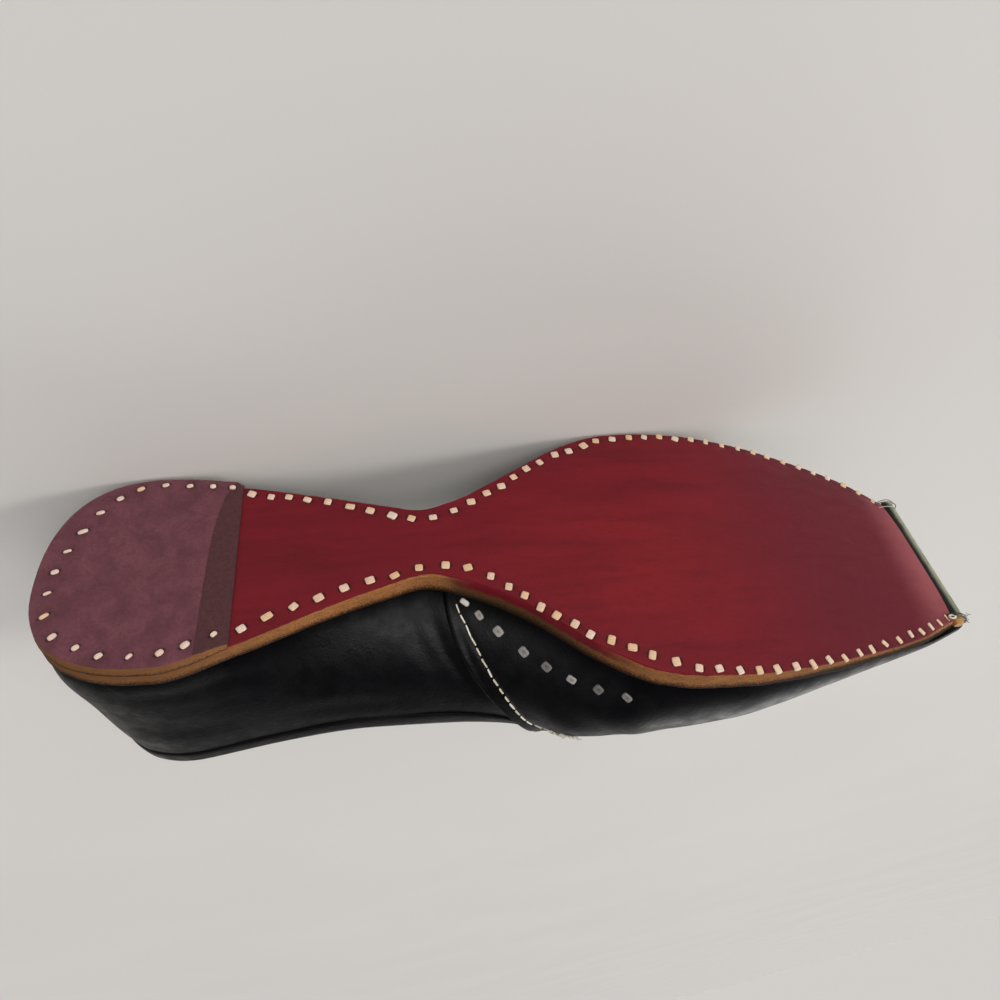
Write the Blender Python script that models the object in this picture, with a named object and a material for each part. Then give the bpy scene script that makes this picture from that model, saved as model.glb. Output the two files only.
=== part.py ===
"""A square-toed leather mojari, one right shoe, lying on its outer side.

The shoe is modelled in its own frame, in millimetres: X runs from heel to toe, Y to the
inner side of the foot, Z up from the ground plane of the sole. One empty then lays it down.
"""
import math

import bmesh
import bpy
import numpy as np
from mathutils import Matrix

MM = 0.001
GAP = 0.3                      # clearance between pieces that touch
MERGE_DISTANCE = 1e-6          # doubled mesh points, in metres

# Heel and toe of the sole
HEEL_CENTRE_X = 33.0
HEEL_LENGTH = 33.3             # from the heel centre to the back of the heel
HEEL_BACK_Y = 7.0              # the back of the heel lies a little to the inner side
HEEL_SQUARENESS = 2.5          # 2 is an ellipse
HEEL_STATIONS = (-87.0, -6.0)  # first and last cross cuts of the round heel, in degrees
HEEL_CUTS = 12
TOE_CENTRE_X = 275.5
TOE_SKEW = 3.0                 # the inner toe corner lies this much ahead, the outer one behind
TOE_SKEW_START = 225.0
TOE_LINE_STEPS = 22.0          # stations along half of the straight toe line
TOE_TURN = 8.0                 # stations in which the outline turns round a toe corner
TOE_SHIFT = 3.2                # the toe's middle lies to the inner side of the axis
TOE_SHIFT_START = 190.0

# Sole thicknesses and heights
LIFT_HEIGHT = 2.5
LIFT_BREAST_TOP_X = 54.0
LIFT_BREAST_BOTTOM_X = 48.0    # the front edge of the lift is skived
LIFT_BREAST_EDGE = 0.4
SOLE_TOP = 8.4
TOE_SPRING = 14.0
SPRING_START_X = 180.0
SPRING_POWER = 1.4
WAIST_END_X = 135.0            # from here to the toe spring the sole lies on the ground plane
TOE_THICKNESS = 5.0
EDGE_ROLL = 1.6                # the forefoot's bottom rises this much at its edges
FLAT_SHARE = 1 / 3             # and is flat over this share of its width
EDGE_ROUND = 0.9
SOLE_CUT = 6.0                 # distance between cross cuts
SOLE_STRIPS = 6

INSOLE_THICKNESS = 2.0
INSOLE_INSET = 5.4
INSOLE_TOE_GAP = 6.0

# Leathers
UPPER_WALL = 2.0
VAMP_WALL = 1.2
BINDING_WALL = 0.7
UPPER_INSET = 2.6              # the upper stands this far inside the sole edge
OUTER_REACH = 51.8             # limit of the outer side's bulge, on which the shoe lies
OUTER_RISE = 12.0              # that bulge sits this much higher between the next two ranges of x
OUTER_RISE_START = (113.0, 143.0)
OUTER_RISE_END = (203.0, 253.0)
TOE_OVERHANG = 5.0             # the upper runs past the sole at the toe
TOE_FOLD_DEPTH = 4.4
TOE_FOLD_INSET = 1.0
TOE_FOLD_ROUND = 1.3
TOE_FOLD_SEGMENTS = 2

# How the shoe lies, in degrees: about its length, then about the sole's upright
LIE_ROLL = -3.8
LIE_PITCH = 5.24

ROWS = 9                       # mesh rows from sole to collar
COLUMNS_PER_RIB = 3
SMOOTH_ANGLE = 35.0

# Sole half widths about the shoe's axis
WIDTHS = np.array([
    # x      inner  outer
    (33.0, 33.2, 33.4),
    (53.0, 27.0, 31.4),
    (79.5, 16.8, 25.5),
    (97.0, 11.2, 20.6),
    (108.0, 8.6, 18.0),
    (119.0, 11.8, 20.8),
    (132.5, 18.5, 27.8),
    (159.0, 38.5, 42.9),
    (172.0, 45.1, 46.9),
    (185.5, 47.3, 47.5),
    (199.0, 47.3, 47.0),
    (214.0, 46.0, 45.0),
    (245.0, 39.8, 36.6),
    (261.0, 35.0, 30.4),
    (275.5, 28.5, 22.0),
])

# Ribs of the upper, one row each from the back of the heel to the middle of the toe.
# The station is degrees round the heel up to 0, then millimetres ahead of the heel centre.
# The first row mirrors the third, so that the curves run level across the back of the heel.
RIBS = np.array([
    # station top_x top_y top_z base_out base_up top_out top_down top_back
    (-120.0, 11.0, -16.5, 68.5, 1.5, 20.0, 5.0, 20.0, 0.0),
    (-90.0, 7.5, 0.0, 68.5, 1.5, 20.0, 5.0, 20.0, 0.0),
    (-60.0, 11.0, 16.5, 68.5, 1.5, 20.0, 5.0, 20.0, 0.0),
    (-30.0, 21.5, 28.0, 67.6, 1.5, 20.0, 4.0, 20.0, 0.0),
    (0.0, 38.0, 31.6, 62.5, 1.5, 20.0, 2.0, 18.0, 0.0),
    (27.0, 65.0, 31.6, 53.0, 10.0, 14.0, 1.0, 15.0, 1.0),
    (47.0, 91.0, 32.3, 46.0, 16.0, 10.5, 0.0, 13.0, 3.0),
    (64.0, 116.0, 33.3, 45.0, 20.0, 9.0, 0.5, 13.0, 5.0),
    (80.0, 139.0, 35.2, 47.0, 24.0, 9.0, 3.0, 13.0, 8.0),
    (105.0, 151.5, 34.2, 55.0, 28.5, 11.0, 11.0, 12.0, 2.0),
    (126.0, 163.5, 19.5, 60.8, 24.0, 14.0, 23.0, 6.0, -5.0),
    (146.0, 172.0, 0.0, 63.3, 16.0, 17.0, 33.5, 0.0, 0.0),
    (162.0, 190.0, 0.0, 56.2, 13.0, 17.5, 32.0, 0.0, 0.0),
    (180.0, 208.0, 0.0, 47.5, 9.0, 15.0, 31.0, 0.0, 0.0),
    (197.0, 226.0, 0.0, 39.5, 5.0, 11.0, 29.0, 0.0, 0.0),
    (217.0, 245.0, 0.0, 33.8, 3.0, 8.0, 25.0, 0.0, 0.0),
    (233.0, 260.0, 0.0, 30.6, 2.0, 5.0, 21.0, 0.0, 0.0),
    (242.5, 267.0, 0.0, 29.6, 1.5, 4.0, 19.0, 0.0, 0.0),
    (264.5, 274.0, 0.0, 28.8, 1.0, 4.0, 4.5, 0.0, 0.0),
])
STATION, TOP_X, TOP_Y, TOP_Z, BASE_OUT, BASE_UP, TOP_OUT, TOP_DOWN, TOP_BACK = range(9)
HEEL_RIB = 1                   # the back of the heel
SEAM_RIB = 8                   # the vamp's back edge lies on this rib
RIDGE_RIB = 11                 # from here to the toe the ribs meet on the vamp's ridge
TOE_RIB = len(RIBS) - 1
BINDING_ROWS = (0.91, 0.955, 1.0)
BINDING_END = 0.12             # the binding stops this part of a rib short of the seam
VAMP_FOOT_ROW = 0.05

ROUGHNESS = 0.5
COLOURS = {
    "sole_leather": (0.135, 0.013, 0.02),
    "lift_leather": (0.145, 0.052, 0.067),
    "insole_leather": (0.30, 0.16, 0.07),
    "upper_leather": (0.006, 0.005, 0.006),
}


def smooth(x_rows, y_rows, x):
    """Monotone cubic curve through the rows of a table, level at the first row."""
    step = np.diff(x_rows)
    slope = np.diff(y_rows) / step
    tangent = np.zeros(len(x_rows))
    same = slope[:-1] * slope[1:] > 0
    weight_a = (2 * step[1:] + step[:-1])[same]
    weight_b = (step[1:] + 2 * step[:-1])[same]
    tangent[1:-1][same] = (weight_a + weight_b) / (weight_a / slope[:-1][same] + weight_b / slope[1:][same])
    tangent[-1] = slope[-1]
    i = int(np.clip(np.searchsorted(x_rows, x) - 1, 0, len(step) - 1))
    t = (x - x_rows[i]) / step[i]
    value = y_rows[i] + t * t * (3 - 2 * t) * (y_rows[i + 1] - y_rows[i])
    return value + step[i] * t * (1 - t) * ((1 - t) * tangent[i] - t * tangent[i + 1])


def ramp(value, start, end):
    return min(max((value - start) / (end - start), 0.0), 1.0)


def ease(value, start, end):
    t = ramp(value, start, end)
    return t * t * (3 - 2 * t)


def toe_spring(x):
    return TOE_SPRING * max((x - SPRING_START_X) / (TOE_CENTRE_X - SPRING_START_X), 0) ** SPRING_POWER


def sole_bottom(x):
    """Height of the sole's underside: on the heel lift, down to the ball, up at the toe."""
    return (LIFT_HEIGHT + GAP) * (1 - ease(x, LIFT_BREAST_TOP_X, WAIST_END_X)) + toe_spring(x)


def sole_top(x):
    """Height of the sole's upper face, which comes nearer to the bottom toward the toe."""
    return SOLE_TOP + toe_spring(x) - (SOLE_TOP - TOE_THICKNESS) * ease(x, SPRING_START_X, TOE_CENTRE_X)


def lift_bottom(x):
    """Ground plane, then up along the skived front edge."""
    skive = ramp(x, LIFT_BREAST_BOTTOM_X, LIFT_BREAST_TOP_X)
    return (LIFT_HEIGHT - LIFT_BREAST_EDGE) * skive


def lift_top(x):
    return LIFT_HEIGHT


def insole_bottom(x):
    return sole_top(x) + GAP


def insole_top(x):
    return insole_bottom(x) + INSOLE_THICKNESS


def outline(side, station, inset=0.0, overhang=0.0):
    """Plan point of the sole edge and its outward direction, side +1 inner and -1 outer."""
    widths = WIDTHS[:, 1 if side > 0 else 2]
    if station < 0:
        angle = math.radians(station + 90)
        power = 2 / HEEL_SQUARENESS
        reach = widths[0] - side * HEEL_BACK_Y - inset
        x = HEEL_CENTRE_X - (HEEL_LENGTH - inset) * math.cos(angle) ** power
        y = HEEL_BACK_Y + side * reach * math.sin(angle) ** power
        return np.array((x, y)), np.array((-math.cos(angle), side * math.sin(angle)))
    corner = TOE_CENTRE_X - HEEL_CENTRE_X
    x = HEEL_CENTRE_X + min(station, corner)
    width = smooth(WIDTHS[:, 0], widths, x) - inset
    lead = ramp(x, TOE_SKEW_START, TOE_CENTRE_X)
    point = np.array((x + lead * (side * TOE_SKEW + overhang), side * width))
    if station > corner:
        middle = np.array((TOE_CENTRE_X + overhang, (WIDTHS[-1, 1] - WIDTHS[-1, 2]) / 2))
        point = point + (middle - point) * ramp(station, corner, corner + TOE_LINE_STEPS)
    turn = ease(station, corner - TOE_TURN, corner + TOE_TURN) * math.pi / 2
    return point, np.array((math.sin(turn), side * math.cos(turn)))


def rib_point(side, rib, v):
    """Point of the upper's outer face: rib number along the shoe, v from sole to collar."""
    rows = np.arange(len(RIBS), dtype=float)
    value = [smooth(rows, RIBS[:, k], rib) for k in range(RIBS.shape[1])]
    part = slice(None, RIDGE_RIB + 1) if rib < RIDGE_RIB else slice(RIDGE_RIB, None)
    for k in (TOP_X, TOP_Y):
        value[k] = smooth(rows[part], RIBS[part, k], rib)
    base, out = outline(side, value[STATION], UPPER_INSET, TOE_OVERHANG)
    shift = TOE_SHIFT * ease(value[TOP_X], TOE_SHIFT_START, TOE_CENTRE_X)
    foot = np.array((*base, sole_top(base[0]) + GAP))
    top = np.array((value[TOP_X], side * value[TOP_Y] + shift, value[TOP_Z]))
    across = (base - top[:2]) / np.linalg.norm(base - top[:2]) if rib >= RIDGE_RIB else out
    bulge = value[BASE_OUT]
    rise = value[BASE_UP]
    if side < 0 and value[STATION] > 0:
        inner, _ = outline(1, value[STATION], UPPER_INSET, TOE_OVERHANG)
        behind_toe = 1 - ease(base[0], *OUTER_RISE_END)
        bulge = min(bulge + behind_toe * (inner[1] + base[1]), OUTER_REACH + base[1])
        rise += OUTER_RISE * behind_toe * ease(base[0], *OUTER_RISE_START)
    low = foot + np.array((*(bulge * out), rise))
    high = top + np.array((*(value[TOP_OUT] * across), -value[TOP_DOWN]))
    high[0] -= value[TOP_BACK]
    w = 1 - v
    return w ** 3 * foot + 3 * w * w * v * low + 3 * w * v * v * high + v ** 3 * top


def material(name):
    made = bpy.data.materials.new(name)
    made.use_nodes = True
    shader = made.node_tree.nodes["Principled BSDF"]
    shader.inputs["Base Color"].default_value = (*COLOURS[name], 1.0)
    shader.inputs["Roughness"].default_value = ROUGHNESS
    return made


def add_object(name, shape, look, parent):
    """One named piece from points in millimetres; doubled points are merged."""
    points, faces = shape
    mesh = bpy.data.meshes.new(name)
    mesh.from_pydata([tuple(c * MM for c in p) for p in points], [], faces)
    work = bmesh.new()
    work.from_mesh(mesh)
    bmesh.ops.remove_doubles(work, verts=work.verts, dist=MERGE_DISTANCE)
    bmesh.ops.dissolve_degenerate(work, edges=work.edges, dist=MERGE_DISTANCE)
    work.to_mesh(mesh)
    work.free()
    mesh.materials.append(look)
    mesh.shade_smooth()
    mesh.set_sharp_from_angle(angle=math.radians(SMOOTH_ANGLE))
    piece = bpy.data.objects.new(name, mesh)
    piece.parent = parent
    bpy.context.collection.objects.link(piece)
    return piece


def rib_numbers(first_rib, last_rib):
    count = (last_rib - first_rib) * COLUMNS_PER_RIB
    return list(np.linspace(first_rib, last_rib, count + 1))


def shell(ribs, levels, around_toe, around_heel):
    """Open surface over both sides of the shoe through the given ribs and levels."""
    inner = [(1, rib) for rib in ribs]
    outer = [(-1, rib) for rib in reversed(ribs)]
    columns = inner + outer if around_toe else outer + inner
    points = [rib_point(side, rib, v) for side, rib in columns for v in levels]
    n = len(levels)
    spans = len(columns) if around_toe and around_heel else len(columns) - 1
    faces = []
    for i in range(spans):
        j = (i + 1) % len(columns)
        for k in range(n - 1):
            faces.append((i * n + k, i * n + k + 1, j * n + k + 1, j * n + k))
    return points, faces


def thicken(piece, wall, lift=0.0):
    """Wall of even thickness: inward, or outward for an overlay lifted off the surface below."""
    if lift:
        raised = piece.modifiers.new("Lift", "DISPLACE")
        raised.strength = lift * MM
        raised.mid_level = 0.0
    solid = piece.modifiers.new("Wall", "SOLIDIFY")
    solid.thickness = wall * MM
    solid.offset = 1.0 if lift else -1.0
    solid.use_even_offset = True
    solid.use_quality_normals = True


def slab_cut(station, bottom, top, inset, roll, round_edge):
    """Bottom and top points of one cross cut of a slab, from the outer to the inner edge."""
    inner, _ = outline(1, station, inset)
    outer, _ = outline(-1, station, inset)
    middle = (inner + outer) / 2
    under = []
    over = []
    for share in np.linspace(-1, 1, SOLE_STRIPS + 1):
        point = middle + (inner - middle) * share
        edge = middle + (point - middle) * (1 - round_edge / np.linalg.norm(inner - middle))
        rise = roll * ease(point[0], WAIST_END_X, SPRING_START_X) * ramp(abs(share), FLAT_SHARE, 1) ** 2
        under.append((*edge, bottom(point[0]) + rise))
        over.append((*point, top(point[0])))
    return under, over


def slab(stations, bottom, top, inset=0.0, roll=0.0, round_edge=0.0):
    """Closed slab over the sole's plan between two height functions of x."""
    points = []
    for station in stations:
        under, over = slab_cut(station, bottom, top, inset, roll, round_edge)
        points += under + over
    row = SOLE_STRIPS + 1
    faces = []
    for cut in range(len(stations) - 1):
        a = cut * 2 * row
        b = a + 2 * row
        for k in range(SOLE_STRIPS):
            faces.append((a + k, a + k + 1, b + k + 1, b + k))
            faces.append((a + row + k + 1, a + row + k, b + row + k, b + row + k + 1))
        faces.append((a, b, b + row, a + row))
        faces.append((b + row - 1, a + row - 1, a + 2 * row - 1, b + 2 * row - 1))
    end = (len(stations) - 1) * 2 * row
    for k in range(SOLE_STRIPS):
        faces.append((row + k, row + k + 1, k + 1, k))
        faces.append((end + k, end + k + 1, end + row + k + 1, end + row + k))
    return points, faces


def heel_stations():
    return list(np.linspace(*HEEL_STATIONS, HEEL_CUTS))


def sole_stations(last):
    return heel_stations() + list(np.arange(0, last, SOLE_CUT)) + [last]


def lift_stations():
    breast = [x - HEEL_CENTRE_X for x in (LIFT_BREAST_BOTTOM_X, LIFT_BREAST_TOP_X)]
    return heel_stations() + list(np.arange(0, breast[0], SOLE_CUT)) + breast


def toe_fold_block():
    """Block in front of the sole's straight toe line."""
    points = []
    for side in (1, -1):
        edge, _ = outline(side, TOE_CENTRE_X - HEEL_CENTRE_X, TOE_FOLD_INSET)
        for ahead in (GAP, GAP + TOE_FOLD_DEPTH):
            for height in (sole_bottom(edge[0]) + TOE_FOLD_INSET, sole_top(edge[0])):
                points.append((edge[0] + ahead, edge[1], height))
    faces = [(0, 1, 3, 2), (4, 6, 7, 5), (0, 4, 5, 1), (2, 3, 7, 6), (1, 5, 7, 3), (0, 2, 6, 4)]
    return points, faces


def add_sole(looks, shoe):
    corner = TOE_CENTRE_X - HEEL_CENTRE_X
    outsole = slab(sole_stations(corner), sole_bottom, sole_top, roll=EDGE_ROLL, round_edge=EDGE_ROUND)
    add_object("outsole", outsole, looks["sole_leather"], shoe)
    lift = slab(lift_stations(), lift_bottom, lift_top, round_edge=EDGE_ROUND)
    add_object("heel_lift", lift, looks["lift_leather"], shoe)
    insole = slab(sole_stations(corner - INSOLE_TOE_GAP), insole_bottom, insole_top, inset=INSOLE_INSET)
    add_object("insole", insole, looks["insole_leather"], shoe)


def add_upper(look, shoe):
    levels = list(np.linspace(0, 1, ROWS + 1))
    upper = add_object("upper", shell(rib_numbers(HEEL_RIB, TOE_RIB), levels, True, True), look, shoe)
    thicken(upper, UPPER_WALL)
    vamp_levels = [VAMP_FOOT_ROW] + levels[1:]
    vamp = add_object("vamp", shell(rib_numbers(SEAM_RIB, TOE_RIB), vamp_levels, True, False), look, shoe)
    thicken(vamp, VAMP_WALL, lift=GAP)
    binding_ribs = rib_numbers(HEEL_RIB, SEAM_RIB)
    binding_ribs[-1] -= BINDING_END
    binding = add_object("collar_binding", shell(binding_ribs, BINDING_ROWS, False, True), look, shoe)
    thicken(binding, BINDING_WALL, lift=GAP)
    fold = add_object("toe_fold", toe_fold_block(), look, shoe)
    rounded = fold.modifiers.new("Rounded", "BEVEL")
    rounded.width = TOE_FOLD_ROUND * MM
    rounded.segments = TOE_FOLD_SEGMENTS


def lay_down(shoe):
    """Lay the shoe on its outer side with its sole facing -Y, centred, lowest point on the floor."""
    tilt = Matrix.Rotation(math.radians(LIE_PITCH), 4, "Z") @ Matrix.Rotation(math.radians(LIE_ROLL), 4, "X")
    on_side = Matrix.Rotation(math.pi, 4, "Z") @ Matrix.Rotation(math.pi / 2, 4, "X")
    shoe.matrix_world = on_side @ tilt
    bpy.context.view_layer.update()
    graph = bpy.context.evaluated_depsgraph_get()
    points = [p.matrix_world @ v.co for p in shoe.children for v in p.evaluated_get(graph).data.vertices]
    low = np.min(points, axis=0)
    high = np.max(points, axis=0)
    shoe.location = (-(low[0] + high[0]) / 2, -(low[1] + high[1]) / 2, -low[2])


def build():
    for old in list(bpy.data.objects):
        bpy.data.objects.remove(old)
    looks = {name: material(name) for name in COLOURS}
    shoe = bpy.data.objects.new("shoe", None)
    bpy.context.collection.objects.link(shoe)
    add_sole(looks, shoe)
    add_upper(looks["upper_leather"], shoe)
    lay_down(shoe)
    bpy.context.view_layer.update()


build()
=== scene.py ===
"""Looks of one square-toed leather mojari that lies on its outer side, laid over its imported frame.

Shapes are worked out in the shoe's own frame, in millimetres: X runs from heel to toe, Y to the
inner side of the foot, Z up from the ground plane of the sole. One turn then lays them down.
"""
import math
from collections import namedtuple
from contextlib import contextmanager

import bpy
import numpy as np
from bpy.props import FloatProperty, FloatVectorProperty, IntProperty, PointerProperty
from mathutils import Matrix, Vector, kdtree, noise


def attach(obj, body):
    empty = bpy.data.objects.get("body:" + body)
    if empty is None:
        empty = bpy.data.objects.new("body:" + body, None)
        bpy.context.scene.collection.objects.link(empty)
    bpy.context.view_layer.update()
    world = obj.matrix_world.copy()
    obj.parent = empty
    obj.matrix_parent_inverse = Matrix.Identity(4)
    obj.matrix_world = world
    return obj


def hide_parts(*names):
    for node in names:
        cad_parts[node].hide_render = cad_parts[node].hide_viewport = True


bl_info = {
    "name": "Mojari",
    "version": (1, 0, 0),
    "blender": (4, 5, 0),
    "location": "View3D > Sidebar > Mojari",
    "description": "Square-toed leather mojari with a hand-stitched red sole",
    "category": "Add Mesh",
}

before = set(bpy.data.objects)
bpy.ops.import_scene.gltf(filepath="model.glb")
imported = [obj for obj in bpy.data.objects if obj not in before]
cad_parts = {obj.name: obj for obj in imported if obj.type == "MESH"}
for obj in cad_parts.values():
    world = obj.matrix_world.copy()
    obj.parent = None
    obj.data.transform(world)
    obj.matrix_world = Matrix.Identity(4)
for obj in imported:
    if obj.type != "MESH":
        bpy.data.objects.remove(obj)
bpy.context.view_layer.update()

MM = 0.001
MERGE_DISTANCE = 2e-6          # doubled mesh points, in metres
SMOOTH_ANGLE = 40.0

# Heel and toe of the sole
HEEL_CENTRE_X = 33.0
HEEL_LENGTH = 33.3
HEEL_BACK_Y = 7.0
HEEL_SQUARENESS = 2.5
TOE_CENTRE_X = 275.5
TOE_SKEW = 3.0
TOE_SKEW_START = 225.0
TOE_LINE_STEPS = 22.0
TOE_TURN = 8.0
TOE_SHIFT = 3.2
TOE_SHIFT_START = 190.0
CORNER = TOE_CENTRE_X - HEEL_CENTRE_X

# Sole thicknesses and heights
LIFT_HEIGHT = 2.5
LIFT_TOP_X = 54.0
SOLE_ON_LIFT = 2.8
SOLE_TOP = 8.4
TOE_SPRING = 14.0
SPRING_START_X = 180.0
SPRING_POWER = 1.4
WAIST_END_X = 135.0
TOE_THICKNESS = 5.0
EDGE_ROLL = 1.6
FLAT_SHARE = 1 / 3
EDGE_ROUND = 0.9
INSOLE_THICKNESS = 2.0
INSOLE_INSET = 5.4
INSOLE_TOE_GAP = 6.0
LIFT_OVERLAP = 0.6             # added to the lift's height, so that no gap shows under the sole

# Cross cuts of a slab
EDGE_TURN = 0.5                # how far its underside turns up at the edge, and within what distance
EDGE_TURN_REACH = 0.35
UNDER_FADE = 0.5               # distance from the edge at which a point is all underside
TOP_INSET = 1.2                # distance of the top's first points from the edge
TOP_ROUND = 0.35               # how far the top's edge is drawn in
EDGE_BELLY = 1.6               # power of the curve from the underside to the cut edge
EDGE_CUTS = ((4.0, 0.16), (1.6, 0.12))     # length and depth of the unevenness of a cut edge

# Leathers
GAP = 0.3
UPPER_WALL = 2.0
VAMP_WALL = 1.2
VAMP_FACE = GAP + VAMP_WALL    # how far the vamp's face lies outside the upper's
UPPER_INSET = 2.6
OUTER_REACH = 51.8
OUTER_RISE = 12.0
OUTER_RISE_START = (113.0, 143.0)
OUTER_RISE_END = (203.0, 253.0)
TOE_OVERHANG = 5.0

# How the shoe lies: degrees about its length and about the sole's upright, and where its origin is
LIE_ROLL = -3.8
LIE_PITCH = 5.24
LIE_AT = np.array((140.0925, -33.8743, 30.3319))
LIE_TURN = np.array(
    Matrix.Rotation(math.pi, 3, "Z") @ Matrix.Rotation(math.pi / 2, 3, "X")
    @ Matrix.Rotation(math.radians(LIE_PITCH), 3, "Z") @ Matrix.Rotation(math.radians(LIE_ROLL), 3, "X"))

# Sole half widths about the shoe's axis
WIDTHS = np.array([
    # x      inner  outer
    (33.0, 33.2, 33.4),
    (53.0, 27.0, 31.4),
    (79.5, 16.8, 25.5),
    (97.0, 11.2, 20.6),
    (108.0, 8.6, 18.0),
    (119.0, 11.8, 20.8),
    (132.5, 18.5, 27.8),
    (159.0, 38.5, 42.9),
    (172.0, 45.1, 46.9),
    (185.5, 47.3, 47.5),
    (199.0, 47.3, 47.0),
    (214.0, 46.0, 45.0),
    (245.0, 39.8, 36.6),
    (261.0, 35.0, 30.4),
    (275.5, 28.5, 22.0),
])

# Ribs of the upper from the back of the heel to the middle of the toe. The station is degrees
# round the heel up to 0, then millimetres ahead of the heel centre.
RIBS = np.array([
    # station top_x top_y top_z base_out base_up top_out top_down top_back
    (-120.0, 11.0, -16.5, 68.5, 1.5, 20.0, 5.0, 20.0, 0.0),
    (-90.0, 7.5, 0.0, 68.5, 1.5, 20.0, 5.0, 20.0, 0.0),
    (-60.0, 11.0, 16.5, 68.5, 1.5, 20.0, 5.0, 20.0, 0.0),
    (-30.0, 21.5, 28.0, 67.6, 1.5, 20.0, 4.0, 20.0, 0.0),
    (0.0, 38.0, 31.6, 62.5, 1.5, 20.0, 2.0, 18.0, 0.0),
    (27.0, 65.0, 31.6, 53.0, 10.0, 14.0, 1.0, 15.0, 1.0),
    (47.0, 91.0, 32.3, 46.0, 16.0, 10.5, 0.0, 13.0, 3.0),
    (64.0, 116.0, 33.3, 45.0, 20.0, 9.0, 0.5, 13.0, 5.0),
    (80.0, 139.0, 35.2, 47.0, 24.0, 9.0, 3.0, 13.0, 8.0),
    (105.0, 151.5, 34.2, 55.0, 28.5, 11.0, 11.0, 12.0, 2.0),
    (126.0, 163.5, 19.5, 60.8, 24.0, 14.0, 23.0, 6.0, -5.0),
    (146.0, 172.0, 0.0, 63.3, 16.0, 17.0, 33.5, 0.0, 0.0),
    (162.0, 190.0, 0.0, 56.2, 13.0, 17.5, 32.0, 0.0, 0.0),
    (180.0, 208.0, 0.0, 47.5, 9.0, 15.0, 31.0, 0.0, 0.0),
    (197.0, 226.0, 0.0, 39.5, 5.0, 11.0, 29.0, 0.0, 0.0),
    (217.0, 245.0, 0.0, 33.8, 3.0, 8.0, 25.0, 0.0, 0.0),
    (233.0, 260.0, 0.0, 30.6, 2.0, 5.0, 21.0, 0.0, 0.0),
    (242.5, 267.0, 0.0, 29.6, 1.5, 4.0, 19.0, 0.0, 0.0),
    (264.5, 274.0, 0.0, 28.8, 1.0, 4.0, 4.5, 0.0, 0.0),
])
STATION, TOP_X, TOP_Y, TOP_Z, BASE_OUT, BASE_UP, TOP_OUT, TOP_DOWN, TOP_BACK = range(9)
HEEL_RIB = 1
SEAM_RIB = 8
RIDGE_RIB = 11
TOE_RIB = 18
HEM_OVERLAP = 0.06             # the hem runs on under the vamp
SOFT_REACH = 0.45              # ribs over which the fold at the ridge's start is evened out
SOFT_PASSES = 40
RIDGE_REACH = 1.5              # millimetres beside the ridge in which the normals of both sides are blended
SPOT_STEP = 0.02               # ribs and levels over which a direction is taken, and levels for that of a face
SKIN_STEP = 0.004
# Ribs between which the columns of the upper are evenly spaced, and how far apart they are
COLUMN_STEPS = ((HEEL_RIB, SEAM_RIB, 0.07), (SEAM_RIB, 9.2, 0.025), (9.2, RIDGE_RIB, 0.05), (RIDGE_RIB, TOE_RIB, 0.08))

# Seam round the sole: how far in from the edge it runs, how far apart the stitches are, how long
# each is along the seam and how wide across it
INNER_SEAM = np.array([
    # station inset pitch long wide
    (-90.0, 4.3, 7.2, 2.7, 1.8),
    (-45.0, 4.8, 7.2, 2.9, 2.0),
    (0.0, 5.2, 7.4, 2.6, 2.2),
    (21.0, 5.6, 7.5, 2.8, 2.2),
    (52.0, 5.3, 7.5, 2.5, 2.2),
    (67.0, 3.9, 7.5, 2.6, 2.2),
    (75.0, 4.0, 7.5, 2.4, 2.3),
    (84.0, 5.8, 7.0, 2.3, 2.4),
    (91.0, 5.0, 6.3, 2.2, 2.4),
    (98.0, 3.6, 5.6, 2.2, 2.4),
    (109.0, 2.2, 5.6, 2.2, 2.4),
    (117.0, 3.0, 5.6, 2.2, 2.5),
    (127.0, 4.8, 6.5, 2.3, 2.6),
    (139.0, 5.4, 6.5, 2.3, 2.6),
    (150.0, 3.8, 6.1, 2.2, 2.5),
    (163.0, 2.7, 6.1, 2.1, 2.4),
    (177.0, 2.1, 6.1, 1.9, 2.3),
    (204.0, 2.5, 5.8, 1.6, 2.4),
    (217.0, 3.4, 5.8, 1.5, 2.6),
    (231.0, 3.2, 4.6, 1.2, 2.6),
    (242.0, 2.9, 4.4, 0.8, 2.4),
])
OUTER_SEAM = np.array([
    # station inset pitch long wide
    (-90.0, 4.3, 7.2, 2.7, 1.8),
    (-58.0, 7.0, 7.2, 2.6, 1.8),
    (-40.0, 7.0, 7.2, 2.6, 1.9),
    (-10.0, 4.0, 7.2, 2.4, 1.8),
    (0.0, 3.6, 7.0, 2.3, 1.8),
    (21.0, 3.6, 5.5, 2.3, 1.9),
    (49.0, 3.1, 6.7, 2.4, 2.0),
    (66.0, 4.4, 6.7, 2.4, 2.1),
    (80.0, 5.0, 6.7, 2.4, 2.1),
    (92.0, 4.0, 5.8, 2.4, 2.2),
    (112.0, 3.2, 5.8, 2.3, 2.2),
    (124.0, 4.2, 5.8, 2.3, 2.2),
    (137.0, 3.6, 5.8, 2.3, 2.2),
    (157.0, 2.6, 5.8, 2.2, 2.2),
    (182.0, 2.0, 5.8, 2.1, 2.2),
    (219.0, 1.8, 5.8, 1.9, 2.2),
    (242.0, 1.8, 5.8, 1.6, 2.2),
])
SEAM_STATION, SEAM_INSET, SEAM_PITCH, SEAM_LONG, SEAM_WIDE = range(5)

# One stitch: middle, direction and outward normal, sizes, tone from pale to warm, how far its ends
# dip, how deep its middle is dented, and whether it lies on the heel lift
Stitch = namedtuple("Stitch", "centre along normal long wide high tone arch dent on_lift")
HEEL_SLANT = (0.88, -0.47)     # all stitches of the heel lean this way in plan
DIMPLE_REACH = 0.24            # of a stitch's length and width
FIBRE_SHIFT = 9.0              # so that no two threads have the same fibres
THREAD_TAPER = 0.7

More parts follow.
